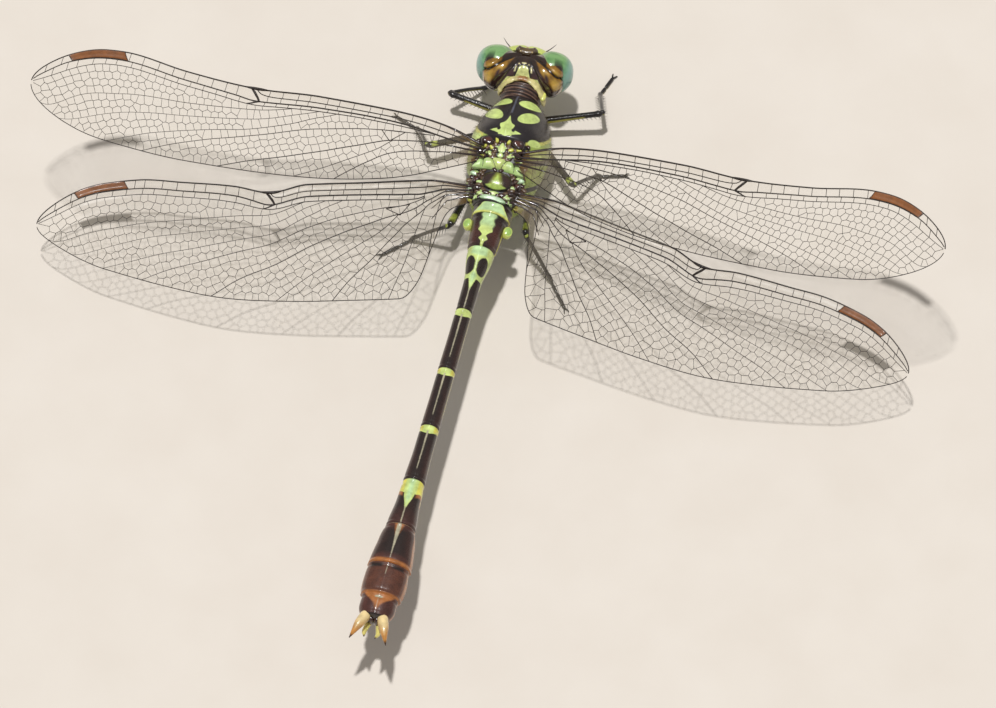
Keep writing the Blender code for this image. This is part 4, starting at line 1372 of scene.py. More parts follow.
@dataclass
class Abdomen:
    """The tail's ten rings with their bands, the side knobs and the claspers.

    The tail's own axes are right, forward and up, from the middle of its front end.
    """

    bench: Workbench
    start: Triple = (0.32, -1.98, 5.0)
    yaw: float = 0.75              # degrees that the tail swings to the left
    length: float = 34.6
    clasper_length: float = 1.85
    lap: float = 0.05              # how far each ring reaches into its neighbours
    auricle: Triple = (0.36, 0.45, 0.34)
    rings: tuple[Ring, ...] = (
        Ring("abdomen_s1", 0.88, (1.4, 1.28), (1.42, 1.32), (1.36, 1.32)),
        Ring("abdomen_s2", 2.67, (1.3, 1.3), (1.19, 1.28), (1.02, 1.18)),
        Ring("abdomen_s3", 5.1, (0.96, 1.12), (0.64, 0.78), (0.59, 0.66)),
        Ring("abdomen_s4", 5.02, (0.6, 0.66), (0.61, 0.64), (0.64, 0.66)),
        Ring("abdomen_s5", 4.86, (0.63, 0.66), (0.65, 0.66), (0.68, 0.68)),
        Ring("abdomen_s6", 4.6, (0.67, 0.68), (0.7, 0.7), (0.79, 0.78)),
        Ring("abdomen_s7", 3.85, (0.76, 0.78), (0.88, 0.84), (1.06, 0.96), 0.03),
        Ring("abdomen_s8", 3.35, (1.06, 0.98), (1.36, 1.08), (1.52, 1.1), 0.07),
        Ring("abdomen_s9", 2.5, (1.48, 1.1), (1.54, 1.08), (1.4, 1.02), 0.06),
        Ring("abdomen_s10", 1.76, (1.3, 0.98), (1.3, 0.94), (1.1, 0.82)),
    )

    def add(self, name: str, shape: Shape, *dress: object) -> None:
        """Carry a shape from the tail's axes to the body's and make it a piece."""
        self.bench.add(
            name, (turned(shape[0], spun(-self.yaw, "Z"), self.start), shape[1]), *dress)

    def build(self) -> None:
        """Make the rings from front to rear, then what grows on them."""
        scale = self.length / sum(ring.length for ring in self.rings)
        place = 0.0
        for number, ring in enumerate(self.rings, start=1):
            self.build_ring(number, ring, place, ring.length * scale)
            if number == 2:
                self.build_auricles(place, ring.length * scale)
            place += ring.length * scale
        self.build_claspers(place)

    def build_ring(self, number: int, ring: Ring, place: float, length: float) -> None:
        """One ring: ovals along its length, with a keel above and a furrow along each side.

        Low bells make its two collars, and its lower edge stands out by the flare.
        """
        stops = 40 + int(16 * length)
        around = 132
        share = (0.5 - 0.5 * np.cos(np.linspace(0.0, math.pi, stops)))[:, None]
        share = 0.5 * share + 0.5 * even(stops)[:, None]
        turn = circle(around)
        stations = (
            (0.0, *(0.88 * value for value in ring.front)), (0.05, *ring.front),
            (0.5, *ring.middle), (0.95, *ring.rear), (1.0, *(0.9 * value for value in ring.rear)))
        if number == len(self.rings):
            ends = ((0.84, 1.0), (0.92, 0.88), (0.97, 0.62), (1.0, 0.2))
            closing = ((at, *(grow * value for value in ring.rear)) for at, grow in ends)
            stations = (*stations[:3], *closing)
        half, high = columns(stations, share)
        along = share * length
        collar = (0.03 * hump(along, 0.16, 0.09) + 0.028 * hump(along, length - 0.14, 0.09)
                  - 0.022 * hump(along, 0.36, 0.09) - 0.015 * hump(along, length - 0.34, 0.1))
        cos, sin = oval(turn, 2.15)
        edge_angle = -0.3
        lower = np.arcsin(np.clip(sin, -1.0, 1.0))
        flange = ring.flare * hump(lower, edge_angle, 0.22) * smooth_step(share, 0.05, 0.45)
        furrow = 0.055 * hump(lower, edge_angle - 0.42, 0.16) * smooth_step(
            share * (1.0 - share), 0.0, 0.06)
        keel = 0.028 * hump(cos, 0.0, 0.1) * (sin > 0.0)
        x = (half + collar) * cos * (1.0 + flange - furrow)
        z = (high + collar + keel) * sin + 0.0 * half
        y = self.lap - place - share * (length + 2.0 * self.lap) + 0.0 * x
        rings = np.stack([x, y, z], axis=-1)
        off = np.degrees(np.arccos(np.clip(sin, -1.0, 1.0))) + 0.0 * x
        away = off / 90.0 * half * 1.18
        fields = self.markings(number, along + 0.0 * x, away, off, length)
        self.add(ring.name + "_shell", ring_solid(rings), ABDOMEN_SHELL, fields, (ring.name,))

    def markings(self, number: int, along: Array, away: Array, off: Array,
                 length: float) -> dict[str, Array]:
        """The bands of one ring.

        Args:
            number: The ring's number from the front.
            along: Millimetres behind its front edge.
            away: Millimetres round it from its top.
            off: Degrees round it from its top.
            length: Its length.

        Returns:
            Fields by name, below zero all over where a ring doesn't bear them.
        """
        share = along / length
        none = np.full(along.shape, -1.0)
        fields = dict.fromkeys(
            ("warm", "side", "rust", "lime", "mint", "yellow", "midline", "dark"), none)
        edge_strip = overlap(0.17 - abs(away - np.max(away) * 0.5), band(share, 0.02, 0.97))

        def stripe(*stations: Pair) -> Array:
            """Field of a stripe along the top whose half-width follows a table."""
            return curve(stations, share) - away

        if number == 1:
            fields.update(
                lime=overlap(stripe((0.0, 0.42), (0.5, 0.8), (1.0, 1.25)), 0.97 - share),
                mint=overlap(stripe((0.0, 0.36), (0.6, 0.75), (1.0, 1.0)), 0.8 - share),
                yellow=overlap(0.024 - abs(along - 0.8), 1.75 - away),
                side=band(off, 82.0, 120.0) * 0.02)
        elif number == 2:
            lime = stripe(
                (0.0, 0.26), (0.1, 0.36), (0.2, 0.26), (0.34, 0.36), (0.44, 0.3), (0.54, 0.37),
                (0.62, 0.2), (0.7, 0.1), (0.8, 0.22), (0.86, 0.1), (1.0, 0.05))
            fields.update(lime=lime, mint=overlap(lime, 0.4 - share),
                          yellow=overlap(0.07 - abs(away - 1.16), band(share, 0.45, 1.0)),
                          warm=disc(along, away, (1.75, 0.62), (0.55, 0.3)) + 0.12)
        elif number == 3:
            ring = 0.8 + 0.12 * np.cos(away * 4.0) - along
            waist = 0.24 - abs(along - 2.36 - 0.1 * away)
            middle = stripe((0.0, 0.36), (0.12, 0.2), (0.2, 0.06), (0.38, 0.05), (0.47, 0.22),
                            (0.54, 0.15), (0.62, 0.07), (0.7, 0.01), (0.8, -0.04), (1.0, -0.1))
            flank = overlap(away - 0.72 + 0.1 * share, 3.15 - along - 0.6 * (away - 0.75))
            ovals = overlap(disc(along, away, (1.6, 0.38), (0.7, 0.35), -3.0), away - 0.06)
            fields.update(lime=overlap(union(ring, waist, middle, flank, 2.3 - along), -ovals),
                          mint=overlap(union(middle, overlap(ring, 0.5 - away)) - 0.07, -ovals),
                          midline=overlap(0.022 - away, band(share, 0.66, 0.97)), side=edge_strip)
        elif number in (4, 5, 6):
            lime = {4: 0.62, 5: 0.6, 6: 0.66}[number] + 0.1 * np.cos(away * 5.2) - along
            fields.update(
                lime=lime, yellow=overlap(lime - 0.05, away - 0.3) if number > 4 else none,
                midline=overlap(0.035 * (1.2 - share) - away, band(share, 0.12, 0.8)),
                side=overlap(edge_strip, band(share, 0.1, 0.75)),
                # Painted sheen: warm brown over the upper sides of the ring's rear half.
                warm=overlap(band(away, 0.25, 0.8), band(share, 0.4, 1.0)) - 0.25,
                dark=0.05 - along)
        elif number == 7:
            scallop = 0.14 * np.cos(away * 4.4)
            lime = union(1.22 + scallop - along, overlap(1.75 - along, band(away, 1.02, 1.5)),
                         stripe((0.0, 0.3), (0.36, 0.25), (0.52, 0.12), (0.68, 0.0), (1.0, -0.4)))
            fields.update(
                rust=union(overlap(1.5 + scallop - along, away - 0.36),
                           overlap(1.95 - along, band(away, 0.86, 1.6))),
                lime=lime, mint=overlap(lime - 0.05, 0.16 - away) - 0.04,
                yellow=overlap(lime - 0.02, away - 0.34),
                side=overlap(edge_strip, band(share, 0.2, 0.6)),
                midline=overlap(0.022 - away, band(share, 0.62, 0.97)), warm=share - 0.85,
                dark=0.05 - along)
        elif number == 8:
            streak = stripe((0.0, 0.05), (0.1, 0.1), (0.25, 0.085), (0.6, 0.03), (1.0, 0.0))
            fields.update(
                rust=union(overlap(band(off, 70.0, 118.0) * 0.018, band(share, 0.06, 0.96)),
                           along - length + 0.34, 0.1 - along,
                           stripe((0.0, 0.3), (0.2, 0.16), (0.45, -0.02), (1.0, -0.4)) - 0.04),
                midline=union(overlap(0.1 - along, 0.02), overlap(streak, 0.88 - share)),
                warm=union(0.75 - 1.5 * along, band(off, 42.0, 90.0) * 0.012 - 0.1,
                           1.5 * (along - length + 0.7)))
        elif number == 9:
            fields.update(
                warm=none + 1.6, midline=overlap(0.008 - away, band(share, 0.1, 0.4)),
                rust=union(along - length + 0.14, none + 0.935,
                           overlap(band(off, 72.0, 118.0) * 0.014, band(share, 0.1, 0.95))),
                dark=overlap(band(along, 0.1, 0.62), away - 0.12, 1.1 - away) * 0.3 - 0.035)
        else:
            wedge = stripe((0.0, 0.95), (0.16, 0.78), (0.34, 0.42), (0.52, 0.16), (0.72, 0.02),
                           (1.0, -0.3))
            fields.update(
                warm=none + 1.35, dark=along - length + 0.2,
                rust=union(wedge, band(off, 84.0, 118.0) * 0.012),
                side=disc(along, away, (0.34, 0.0), (0.22, 0.34)),
                midline=union(disc(along, away, (0.36, 0.0), (0.13, 0.26)) - 0.035,
                              overlap(-away, band(share, 0.3, 0.7))))
        return fields

    def build_auricles(self, place: float, length: float) -> None:
        """The ear-like knobs: flat ovals whose rim is brighter than their middle."""
        wide, long, _ = self.auricle
        points, faces = orb((0.0, 0.0, 0.0), self.auricle, 60, 40, 2.2)
        reach = np.hypot(points[:, 0] / wide, points[:, 1] / long)
        points[:, 2] += 0.06 * hump(reach, 0.84, 0.1) * (points[:, 2] > 0.0)
        for side in Side:
            centre = (side.value * 1.42, -place - 0.3 * length, 0.28)
            shape = (turned(points, spun(side.value * 22.0, "Y"), centre), faces)
            self.add("auricle_plate_" + side.word, shape, AURICLE_SHELL,
                     {"rim": (reach - 0.74) * 0.4}, ("auricle_" + side.word,))

    def build_claspers(self, tail: float) -> None:
        """The two upper claspers and the two arms of the lower one, all pointed."""
        long = self.clasper_length
        shape = merged(*(orb((side.value * 0.22, -tail - 0.02, -0.04), (0.26, 0.26, 0.42), 30, 22,
                             2.3) for side in Side))
        self.add("end_plates", shape, PLATE_DARK, {"heart": np.full(len(shape[0]), -0.06)})
        for side in Side:
            out, name = side.value, "cercus_" + side.word
            path = spline(
                [(out * 0.56, 0.25 - tail, 0.3), (out * 0.68, -tail - 0.1, 0.34),
                 (out * 0.92, -tail - 0.42 * long, 0.42), (out * 1.12, -tail - 0.74 * long, 0.36),
                 (out * 1.34, -tail - 1.04 * long, 0.18)], 46)
            share = even(46)
            radius = curve(((0.0, 0.34), (0.2, 0.4), (0.45, 0.36), (0.7, 0.22), (0.9, 0.09),
                            (1.0, 0.02)), share)
            shape = bundle(path[None], radius[None], 26)
            aside = abs(shape[0][:, 0] - np.repeat(path[:, 0], 26))
            amber = np.repeat(0.7 * (share - 0.62) * long + 0.25 - 0.7 * radius, 26) + aside - 0.1
            self.add(name + "_horn", shape, CLASPER_SHELL,
                     {"amber": amber, "dark": np.repeat((share - 0.88) * long, 26)}, (name,))
            name = "epiproct_" + side.word
            arm = spline([(out * 0.3, 0.15 - tail, -0.44), (out * 0.42, -tail - 0.35, -0.44),
                          (out * 0.5, -tail - 0.85, -0.4), (out * 0.4, -tail - 1.34, -0.2)], 36)
            share = even(36)
            radius = curve(((0.0, 0.24), (0.4, 0.2), (0.75, 0.15), (1.0, 0.04)), share)
            self.add(name + "_arm", bundle(arm[None], radius[None], 22), ARM_SHELL,
                     {"dark": np.repeat((share - 0.94) * 1.5, 22)}, (name,))


# Wings

@dataclass(frozen=True)
class Vein:
    """One long vein, as shares of the span and of the chord there.

    Before its first point it counts as lying on its parent, and past its last as there.
    """

    name: str
    radius: float
    line: Table
    parent: Optional[str] = None


@dataclass(frozen=True)
class WingPlan:
    """The outline, veins and cells of a fore or hind wing."""

    span: float
    leading: Table
    trailing: Table
    tip_middle: float
    camber: float
    nodus: float                   # share of the span
    stigma: Pair                   # shares of the span
    arculus: float                 # share of the span
    cell: float                    # size of the cells, in millimetres
    costal_step: float             # spacing of the cross veins at the leading edge
    veins: tuple[Vein, ...]
    triangle: Table
    tip_start: float = 0.84


FORE_PLAN = WingPlan(
    span=32.5,
    leading=((0.0, -0.55), (0.06, -1.25), (0.2, -1.85), (0.36, -1.92), (0.5, -1.66),
             (0.66, -2.05), (0.8, -2.75), (0.92, -2.25), (1.0, -1.55)),
    trailing=((0.0, 1.0), (0.07, 2.05), (0.16, 3.3), (0.3, 4.4), (0.48, 5.0),
              (0.64, 5.1), (0.8, 4.7), (0.92, 4.05), (1.0, 3.6)),
    tip_middle=0.95, camber=0.25, nodus=0.505, stigma=(0.797, 0.921), arculus=0.1,
    cell=0.56, costal_step=1.05,
    veins=(
        Vein("subcosta", 0.045, ((0.0, 0.24), (0.06, 0.17), (0.15, 0.1), (0.3, 0.075),
                                 (0.45, 0.07), (0.49, 0.05), (0.505, 0.0))),
        Vein("radius", 0.062, ((0.0, 0.42), (0.06, 0.33), (0.15, 0.2), (0.3, 0.145),
                               (0.45, 0.15), (0.505, 0.155), (0.55, 0.125), (0.65, 0.095),
                               (0.8, 0.088), (0.92, 0.105), (1.0, 0.22))),
        Vein("sector", 0.04, ((0.1, 0.27), (0.15, 0.235), (0.2, 0.21), (0.3, 0.185),
                               (0.45, 0.19), (0.505, 0.2), (0.6, 0.17), (0.8, 0.155),
                               (0.9, 0.2), (1.0, 0.38)), "radius"),
        Vein("second", 0.03, ((0.42, 0.19), (0.5, 0.26), (0.6, 0.32), (0.7, 0.38),
                               (0.8, 0.46), (0.9, 0.6), (0.975, 1.0)), "sector"),
        Vein("between", 0.026, ((0.36, 0.187), (0.45, 0.32), (0.55, 0.42), (0.65, 0.5),
                                (0.75, 0.6), (0.85, 0.76), (0.93, 1.0)), "sector"),
        Vein("third", 0.028, ((0.32, 0.186), (0.42, 0.38), (0.52, 0.52), (0.62, 0.63),
                              (0.72, 0.78), (0.82, 1.0)), "sector"),
        Vein("media", 0.034, ((0.1, 0.29), (0.15, 0.3), (0.2, 0.31), (0.3, 0.36),
                              (0.4, 0.45), (0.5, 0.58), (0.6, 0.72), (0.68, 0.86),
                              (0.74, 1.0)), "sector"),
        Vein("cubitus", 0.04, ((0.0, 0.54), (0.08, 0.46), (0.14, 0.44), (0.19, 0.45),
                                (0.24, 0.52), (0.32, 0.64), (0.4, 0.75), (0.5, 0.88),
                                (0.57, 1.0))),
        Vein("branch", 0.028, ((0.19, 0.45), (0.22, 0.58), (0.28, 0.74), (0.34, 0.88),
                               (0.4, 1.0)), "cubitus"),
        Vein("anal", 0.036, ((0.0, 0.7), (0.08, 0.63), (0.14, 0.61), (0.19, 0.64),
                             (0.25, 0.8), (0.31, 1.0))),
    ),
    triangle=((0.165, 0.305), (0.198, 0.465), (0.218, 0.315)))

HIND_PLAN = WingPlan(
    span=31.0,
    leading=((0.0, -0.45), (0.09, -0.95), (0.23, -1.02), (0.37, -1.12), (0.455, -0.62),
             (0.54, -1.28), (0.66, -1.82), (0.76, -2.2), (0.9, -1.8), (1.0, -1.1)),
    trailing=((0.0, 0.95), (0.05, 1.7), (0.085, 4.2), (0.12, 7.0), (0.165, 8.4),
              (0.28, 8.32), (0.42, 8.15), (0.58, 7.55), (0.72, 6.25), (0.86, 4.6),
              (1.0, 2.9)),
    tip_middle=1.0, camber=0.3, nodus=0.458, stigma=(0.79, 0.908), arculus=0.1,
    cell=0.62, costal_step=1.15,
    veins=(
        Vein("subcosta", 0.045, ((0.0, 0.24), (0.06, 0.12), (0.15, 0.055), (0.3, 0.05),
                                 (0.42, 0.05), (0.45, 0.035), (0.458, 0.0))),
        Vein("radius", 0.062, ((0.0, 0.42), (0.06, 0.25), (0.15, 0.12), (0.3, 0.105),
                               (0.42, 0.11), (0.46, 0.117), (0.5, 0.095), (0.6, 0.075),
                               (0.8, 0.085), (0.9, 0.11), (1.0, 0.22))),
        Vein("sector", 0.04, ((0.1, 0.2), (0.15, 0.165), (0.2, 0.15), (0.35, 0.145),
                               (0.46, 0.155), (0.6, 0.135), (0.8, 0.155), (0.9, 0.2),
                               (1.0, 0.38)), "radius"),
        Vein("second", 0.03, ((0.38, 0.147), (0.46, 0.21), (0.56, 0.28), (0.68, 0.37),
                               (0.8, 0.49), (0.9, 0.66), (0.975, 1.0)), "sector"),
        Vein("between", 0.026, ((0.33, 0.146), (0.42, 0.26), (0.52, 0.36), (0.64, 0.46),
                                (0.76, 0.6), (0.86, 0.8), (0.92, 1.0)), "sector"),
        Vein("third", 0.028, ((0.29, 0.146), (0.4, 0.32), (0.5, 0.44), (0.62, 0.58),
                              (0.72, 0.72), (0.8, 0.88), (0.85, 1.0)), "sector"),
        Vein("media", 0.034, ((0.1, 0.215), (0.15, 0.22), (0.2, 0.23), (0.3, 0.3),
                              (0.4, 0.41), (0.5, 0.54), (0.6, 0.68), (0.7, 0.85),
                              (0.76, 1.0)), "sector"),
        Vein("cubitus", 0.04, ((0.0, 0.54), (0.06, 0.34), (0.12, 0.28), (0.16, 0.29),
                                (0.24, 0.37), (0.34, 0.5), (0.44, 0.66), (0.54, 0.84),
                                (0.6, 1.0))),
        Vein("branch", 0.03, ((0.16, 0.29), (0.2, 0.42), (0.26, 0.55), (0.33, 0.7),
                               (0.4, 0.86), (0.45, 1.0)), "cubitus"),
        Vein("anal", 0.036, ((0.0, 0.72), (0.06, 0.44), (0.1, 0.36), (0.14, 0.38),
                             (0.18, 0.5), (0.23, 0.68), (0.28, 0.84), (0.32, 1.0))),
        Vein("loop", 0.028, ((0.1, 0.36), (0.12, 0.5), (0.145, 0.68), (0.17, 0.85),
                             (0.19, 1.0)), "anal"),
        Vein("corner", 0.03, ((0.055, 0.46), (0.07, 0.62), (0.085, 0.82), (0.095, 1.0)),
             "anal"),
    ),
    triangle=((0.135, 0.225), (0.158, 0.3), (0.19, 0.235)))


@dataclass
class Wing:
    """One wing: film, long veins, cross veins and cells, nodus, stigma and root."""

    bench: Workbench
    name: str
    plan: WingPlan
    side: Side
    base: Triple
    sweep: float                   # degrees
    rise: float                    # degrees
    pitch: float                   # degrees
    film_thickness: float = 0.024
    axes: Array = field(init=False)

    def __post_init__(self) -> None:
        """Work out the wing's outward, backward and upward directions from its angles."""
        sweep, rise = math.radians(self.sweep), math.radians(self.rise)
        sign = self.side.value
        outward = Vector((sign * math.cos(rise) * math.cos(sweep),
                          -math.cos(rise) * math.sin(sweep), math.sin(rise)))
        backward = Vector((0.0, -1.0, 0.0))
        backward = (backward - outward * backward.dot(outward)).normalized()
        backward = Matrix.Rotation(sign * math.radians(self.pitch), 3, outward) @ backward
        self.axes = np.array([outward, backward, outward.cross(backward) * -sign])

    def add(self, part: str, *piece: object) -> None:
        """Make one of the wing's pieces."""
        self.bench.add(f"{self.name}_{part}", *piece)

    def edges(self, share: Array) -> tuple[Array, Array]:
        """Fore and hind edge behind the wing's axis; the tip closes by a quarter ellipse."""
        plan = self.plan
        fore = curve(plan.leading, share)
        aft = curve(plan.trailing, share)
        past = np.clip((share - plan.tip_start) / (1.0 - plan.tip_start), 0.0, 1.0)
        closing = np.sqrt(1.0 - past ** 2)
        return (plan.tip_middle + (fore - plan.tip_middle) * closing,
                plan.tip_middle + (aft - plan.tip_middle) * closing)

    def place(self, share: Array, chord: Array, lift: float = 0.0) -> Array:
        """Points of the wing: a parabolic arch from edge to edge, pleated in front.

        Args:
            share: Share of the span.
            chord: Share of the chord, from the fore edge to the hind edge.
            lift: Height over the middle surface.

        Returns:
            The points in body millimetres.
        """
        fore, aft = self.edges(share)
        back = fore + (aft - fore) * chord
        arch = self.plan.camber * (
            1.0 - (2.0 * chord - 1.0) ** 2) * np.sqrt(np.clip(1.0 - share, 0.0, 1.0))
        behind = back - fore
        pleat = 0.09 * np.cos(math.tau * behind / 0.98) * np.exp(-behind / 2.2)
        pleat = pleat * smooth_step(share, 0.02, 0.1) * smooth_step(-share, -1.0, -0.86)
        along = np.stack([share * self.plan.span, back, arch + pleat + lift], axis=-1)
        return along @ self.axes + np.asarray(self.base)

    def line(self, name: str, share: Array) -> Array:
        """Chord share of a vein, on its parent before its start and 1 past its end."""
        if name == "costa":
            return np.zeros_like(share)
        if name == "margin":
            return np.ones_like(share)
        vein = next(item for item in self.plan.veins if item.name == name)
        chord = curve(vein.line, share)
        if vein.parent is not None:
            chord = np.where(share < vein.line[0][0], self.line(vein.parent, share), chord)
        return np.where(share > vein.line[-1][0], vein.line[-1][1], chord)

    def build(self) -> None:
        """Make every piece of the wing."""
        self.build_film()
        self.build_veins()
        self.build_cells()
        self.build_nodus()
        self.build_stigma()
        self.build_root()

    def build_film(self) -> None:
        """The clear film: a closed sheet of even thickness over the whole outline."""
        run = even(200)[:, None]
        share = 0.004 + 0.9958 * (1.0 - (1.0 - run) ** 1.5)
        chord = even(46)[None, :]
        half = 0.5 * self.film_thickness
        upper = self.place(share + 0.0 * chord, chord + 0.0 * share, half)
        lower = self.place(share + 0.0 * chord, chord + 0.0 * share, -half)
        rings = folded(upper, lower)
        fore, aft = self.edges(share)
        behind = (aft - fore) * chord
        near_root = 0.95 * np.exp(-share * self.plan.span / 1.6)
        near_rim = 0.45 * np.exp(-behind / 0.55) * smooth_step(-share, -0.9, -0.2)
        amber = near_root + near_rim
        amber = np.clip(folded(amber, amber), 0.0, 1.0)
        self.add("film", ring_solid(rings), WING_FILM, {"amber": amber}, (self.name,))

    def build_veins(self) -> None:
        """The long veins and the rim of the wing, thinning towards the tip."""
        count = 150
        run = even(count)
        fine = even(3000)
        paths, radii = [], []
        for name, stout, fade in (("costa", 0.07, 0.03), ("margin", 0.034, 0.004)):
            edge = self.flat(fine, self.line(name, fine))
            gone = np.append(0.0, np.cumsum(np.linalg.norm(np.diff(edge, axis=0), axis=1)))
            rim = 0.9996 * np.interp(run * gone[-1], gone, fine)
            paths.append(self.place(rim, self.line(name, rim)))
            radii.append(stout - fade * rim)
        for vein in self.plan.veins:
            first, last = vein.line[0][0], min(vein.line[-1][0], 0.996)
            share = first + (last - first) * run
            paths.append(self.place(share, self.line(vein.name, share)))
            radii.append(vein.radius * (1.0 - 0.45 * share))
        shape = bundle(np.stack(paths), np.stack(radii), 8, self.axes[2])
        self.add("veins", shape, VEIN_SHELL)

    def rung(self, fore: str, aft: str, share: Array, slant: float) -> Array:
        """Straight cross veins between two long veins, their hind ends moved by a slant."""
        start = np.clip(share, 0.0, 0.995)
        stop = np.clip(share + slant, 0.0, 0.995)
        return np.stack([self.place(start, self.line(fore, start)),
                         self.place(stop, self.line(aft, stop))], axis=1)

    def build_cells(self) -> None:
        """The net of the wing: ladders in front, and many-sided cells behind."""
        plan = self.plan
        rng = np.random.default_rng(SEED + sum(map(ord, self.name)))
        step = plan.costal_step / plan.span
        before = np.arange(0.055, plan.nodus - 0.012, step)
        before = before + rng.normal(0.0, 0.08 * step, len(before))
        after = np.arange(plan.nodus + 0.035, 0.975, step * 0.95)
        after = after[(after < plan.stigma[0] - 0.006) | (after > plan.stigma[1] + 0.006)]
        after = after + rng.normal(0.0, 0.07 * step, len(after))
        second = np.arange(plan.arculus + 0.02, 0.965, step * 0.86)
        second = second + rng.normal(0.0, 0.08 * step, len(second))
        ladders = np.concatenate([self.rung(*rung) for rung in (
            ("costa", "subcosta", before, 0.002),
            ("subcosta", "radius", before + 0.12 * step, 0.002),
            ("costa", "radius", after, 0.004),
            ("radius", "sector", second, 0.003),
            ("cubitus", "anal", np.array([0.05, 0.085, 0.12]), 0.0),
            ("radius", "cubitus", np.array([plan.arculus]), 0.004),
        )])
        order = ["sector", "second", "between", "third", "media", "cubitus", "branch", "anal",
                 *(vein.name for vein in plan.veins if vein.name in ("loop", "corner")), "margin"]
        nets = np.concatenate([self.net(fore, aft, rng) for fore, aft in zip(order, order[1:])])
        corners = np.array(plan.triangle)
        sides = np.stack([corners, np.roll(corners, -1, axis=0)], axis=1)
        parts = [ladders, nets, self.place(sides[..., 0], sides[..., 1])]
        radii = np.repeat((0.027, 0.019, 0.034), [len(part) for part in parts])
        shape = bundle(np.concatenate(parts), np.tile(radii[:, None], 2), 4, self.axes[2])
        self.add("cells", shape, VEIN_SHELL)

    def net(self, fore: str, aft: str, rng: np.random.Generator) -> Array:
        """Cells between two long veins, as the borders between seeds in jittered rows.

        Seeds near a vein are mirrored in it, so that the border to their image is the vein
        itself, and the borders between two seeds, which are kept, end there.

        Args:
            fore: Name of the vein in front.
            aft: Name of the vein behind.
            rng: Source of the seeds' small shifts.

        Returns:
            Straight borders as (border, end, coordinate).
        """
        span, cell = self.plan.span, self.plan.cell
        share = np.arange(0.03, 0.985, cell / span)[:, None]
        front, back = self.edges(share)
        width = (self.line(aft, share) - self.line(fore, share)) * (back - front)
        rows = np.maximum(np.round(width / cell), 1.0)
        row = np.arange(20)[None, :]
        kept = (row < rows) & (width > 0.16)
        shift = np.where(row % 2 == 1, 0.5, 0.0) * cell / span
        share = (share + shift + rng.normal(0.0, 0.1, kept.shape) * cell / span)[kept]
        inside = ((row + 0.5 + rng.normal(0.0, 0.07, kept.shape)) / rows)[kept]
        low, high = self.line(fore, share), self.line(aft, share)
        seeds = self.flat(share, low + (high - low) * inside)
        images = []
        at = even(1200)
        for vein in (fore, aft):
            wall = self.flat(at, self.line(vein, at))
            gaps = np.linalg.norm(seeds[:, None] - wall[None], axis=2)
            nearest, gap = wall[gaps.argmin(axis=1)], gaps.min(axis=1)
            seeds, nearest, gap = (part[gap > 0.22 * cell] for part in (seeds, nearest, gap))
            images.append((2.0 * nearest - seeds)[gap < 1.6 * cell])
        if len(seeds) < 3:
            return np.zeros((0, 2, 3))
        places = np.concatenate([seeds, *images])
        result = geometry.delaunay_2d_cdt([Vector(place) for place in places], [], [], 0, 1e-5)
        points = np.array([tuple(point) for point in result[0]])
        corners = np.array([list(face) for face in result[2]])
        image = np.array([origin[0] >= len(seeds) for origin in result[3]])
        return self.clipped(fore, aft, self.borders(points, corners, image))

    def flat(self, share: Array, chord: Array) -> Array:
        """Places on the flattened wing: millimetres along the span and behind its axis."""
        front, back = self.edges(np.clip(share, 0.0, 1.0))
        return np.stack([share * self.plan.span, front + (back - front) * chord], axis=-1)

    def borders(self, points: Array, corners: Array, image: Array) -> Array:
        """Lines between the centres of circles through neighbouring triangles' corners.

        Args:
            points: The seeds and their images.
            corners: The triangles' corners.
            image: Which points are images.

        Returns:
            The lines that part two seeds, drawn a little longer where they meet a vein.
        """
        a, b, c = points[corners.T]
        ab, ac = b - a, c - a
        area = 2.0 * (ab[:, 0] * ac[:, 1] - ab[:, 1] * ac[:, 0])
        area = np.where(abs(area) < 1e-9, 1e-9, area)
        ab2, ac2 = (ab ** 2).sum(1), (ac ** 2).sum(1)
        centre = a + np.stack([(ac[:, 1] * ab2 - ab[:, 1] * ac2) / area,
                               (ab[:, 0] * ac2 - ac[:, 0] * ab2) / area], axis=1)
        sides = np.sort(
            np.concatenate([corners[:, pair] for pair in ([0, 1], [1, 2], [2, 0])]), axis=1)
        owner = np.tile(np.arange(len(corners)), 3)
        key = sides[:, 0].astype(np.int64) * len(points) + sides[:, 1]
        order = np.argsort(key, kind="stable")
        key, owner = key[order], owner[order]
        seeded = ~image[key // len(points)] & ~image[key % len(points)]
        twin = np.flatnonzero((key[1:] == key[:-1]) & seeded[1:])
        first, last = owner[twin], owner[twin + 1]
        run = centre[last] - centre[first]
        run /= np.maximum(np.linalg.norm(run, axis=1, keepdims=True), 1e-6)
        longer = 0.1 * image[corners].any(axis=1)[:, None]
        return np.stack(
            [centre[first] - run * longer[first], centre[last] + run * longer[last]], axis=1)

    def clipped(self, fore: str, aft: str, borders: Array) -> Array:
        """The stretch of each border that lies between two long veins, put on the wing."""
        steps = even(40)
        samples = borders[:, :1] + (borders[:, 1:] - borders[:, :1]) * steps[None, :, None]
        share = samples[..., 0] / self.plan.span
        safe = np.clip(share, 0.0, 0.999)
        front, back = self.edges(safe)
        chord = (samples[..., 1] - front) / np.maximum(back - front, 1e-6)
        low, high = self.line(fore, safe), self.line(aft, safe)
        good = (chord >= low - 2e-3) & (chord <= high + 2e-3) & (share > 0.03) & (share < 0.996)
        some = good.sum(axis=1) >= 2
        good, share, chord = good[some], share[some], chord[some]
        first = good.argmax(axis=1)
        last = good.shape[1] - 1 - good[:, ::-1].argmax(axis=1)
        ends = np.stack([first, last], axis=1)
        return self.place(*(np.take_along_axis(part, ends, axis=1) for part in (share, chord)))

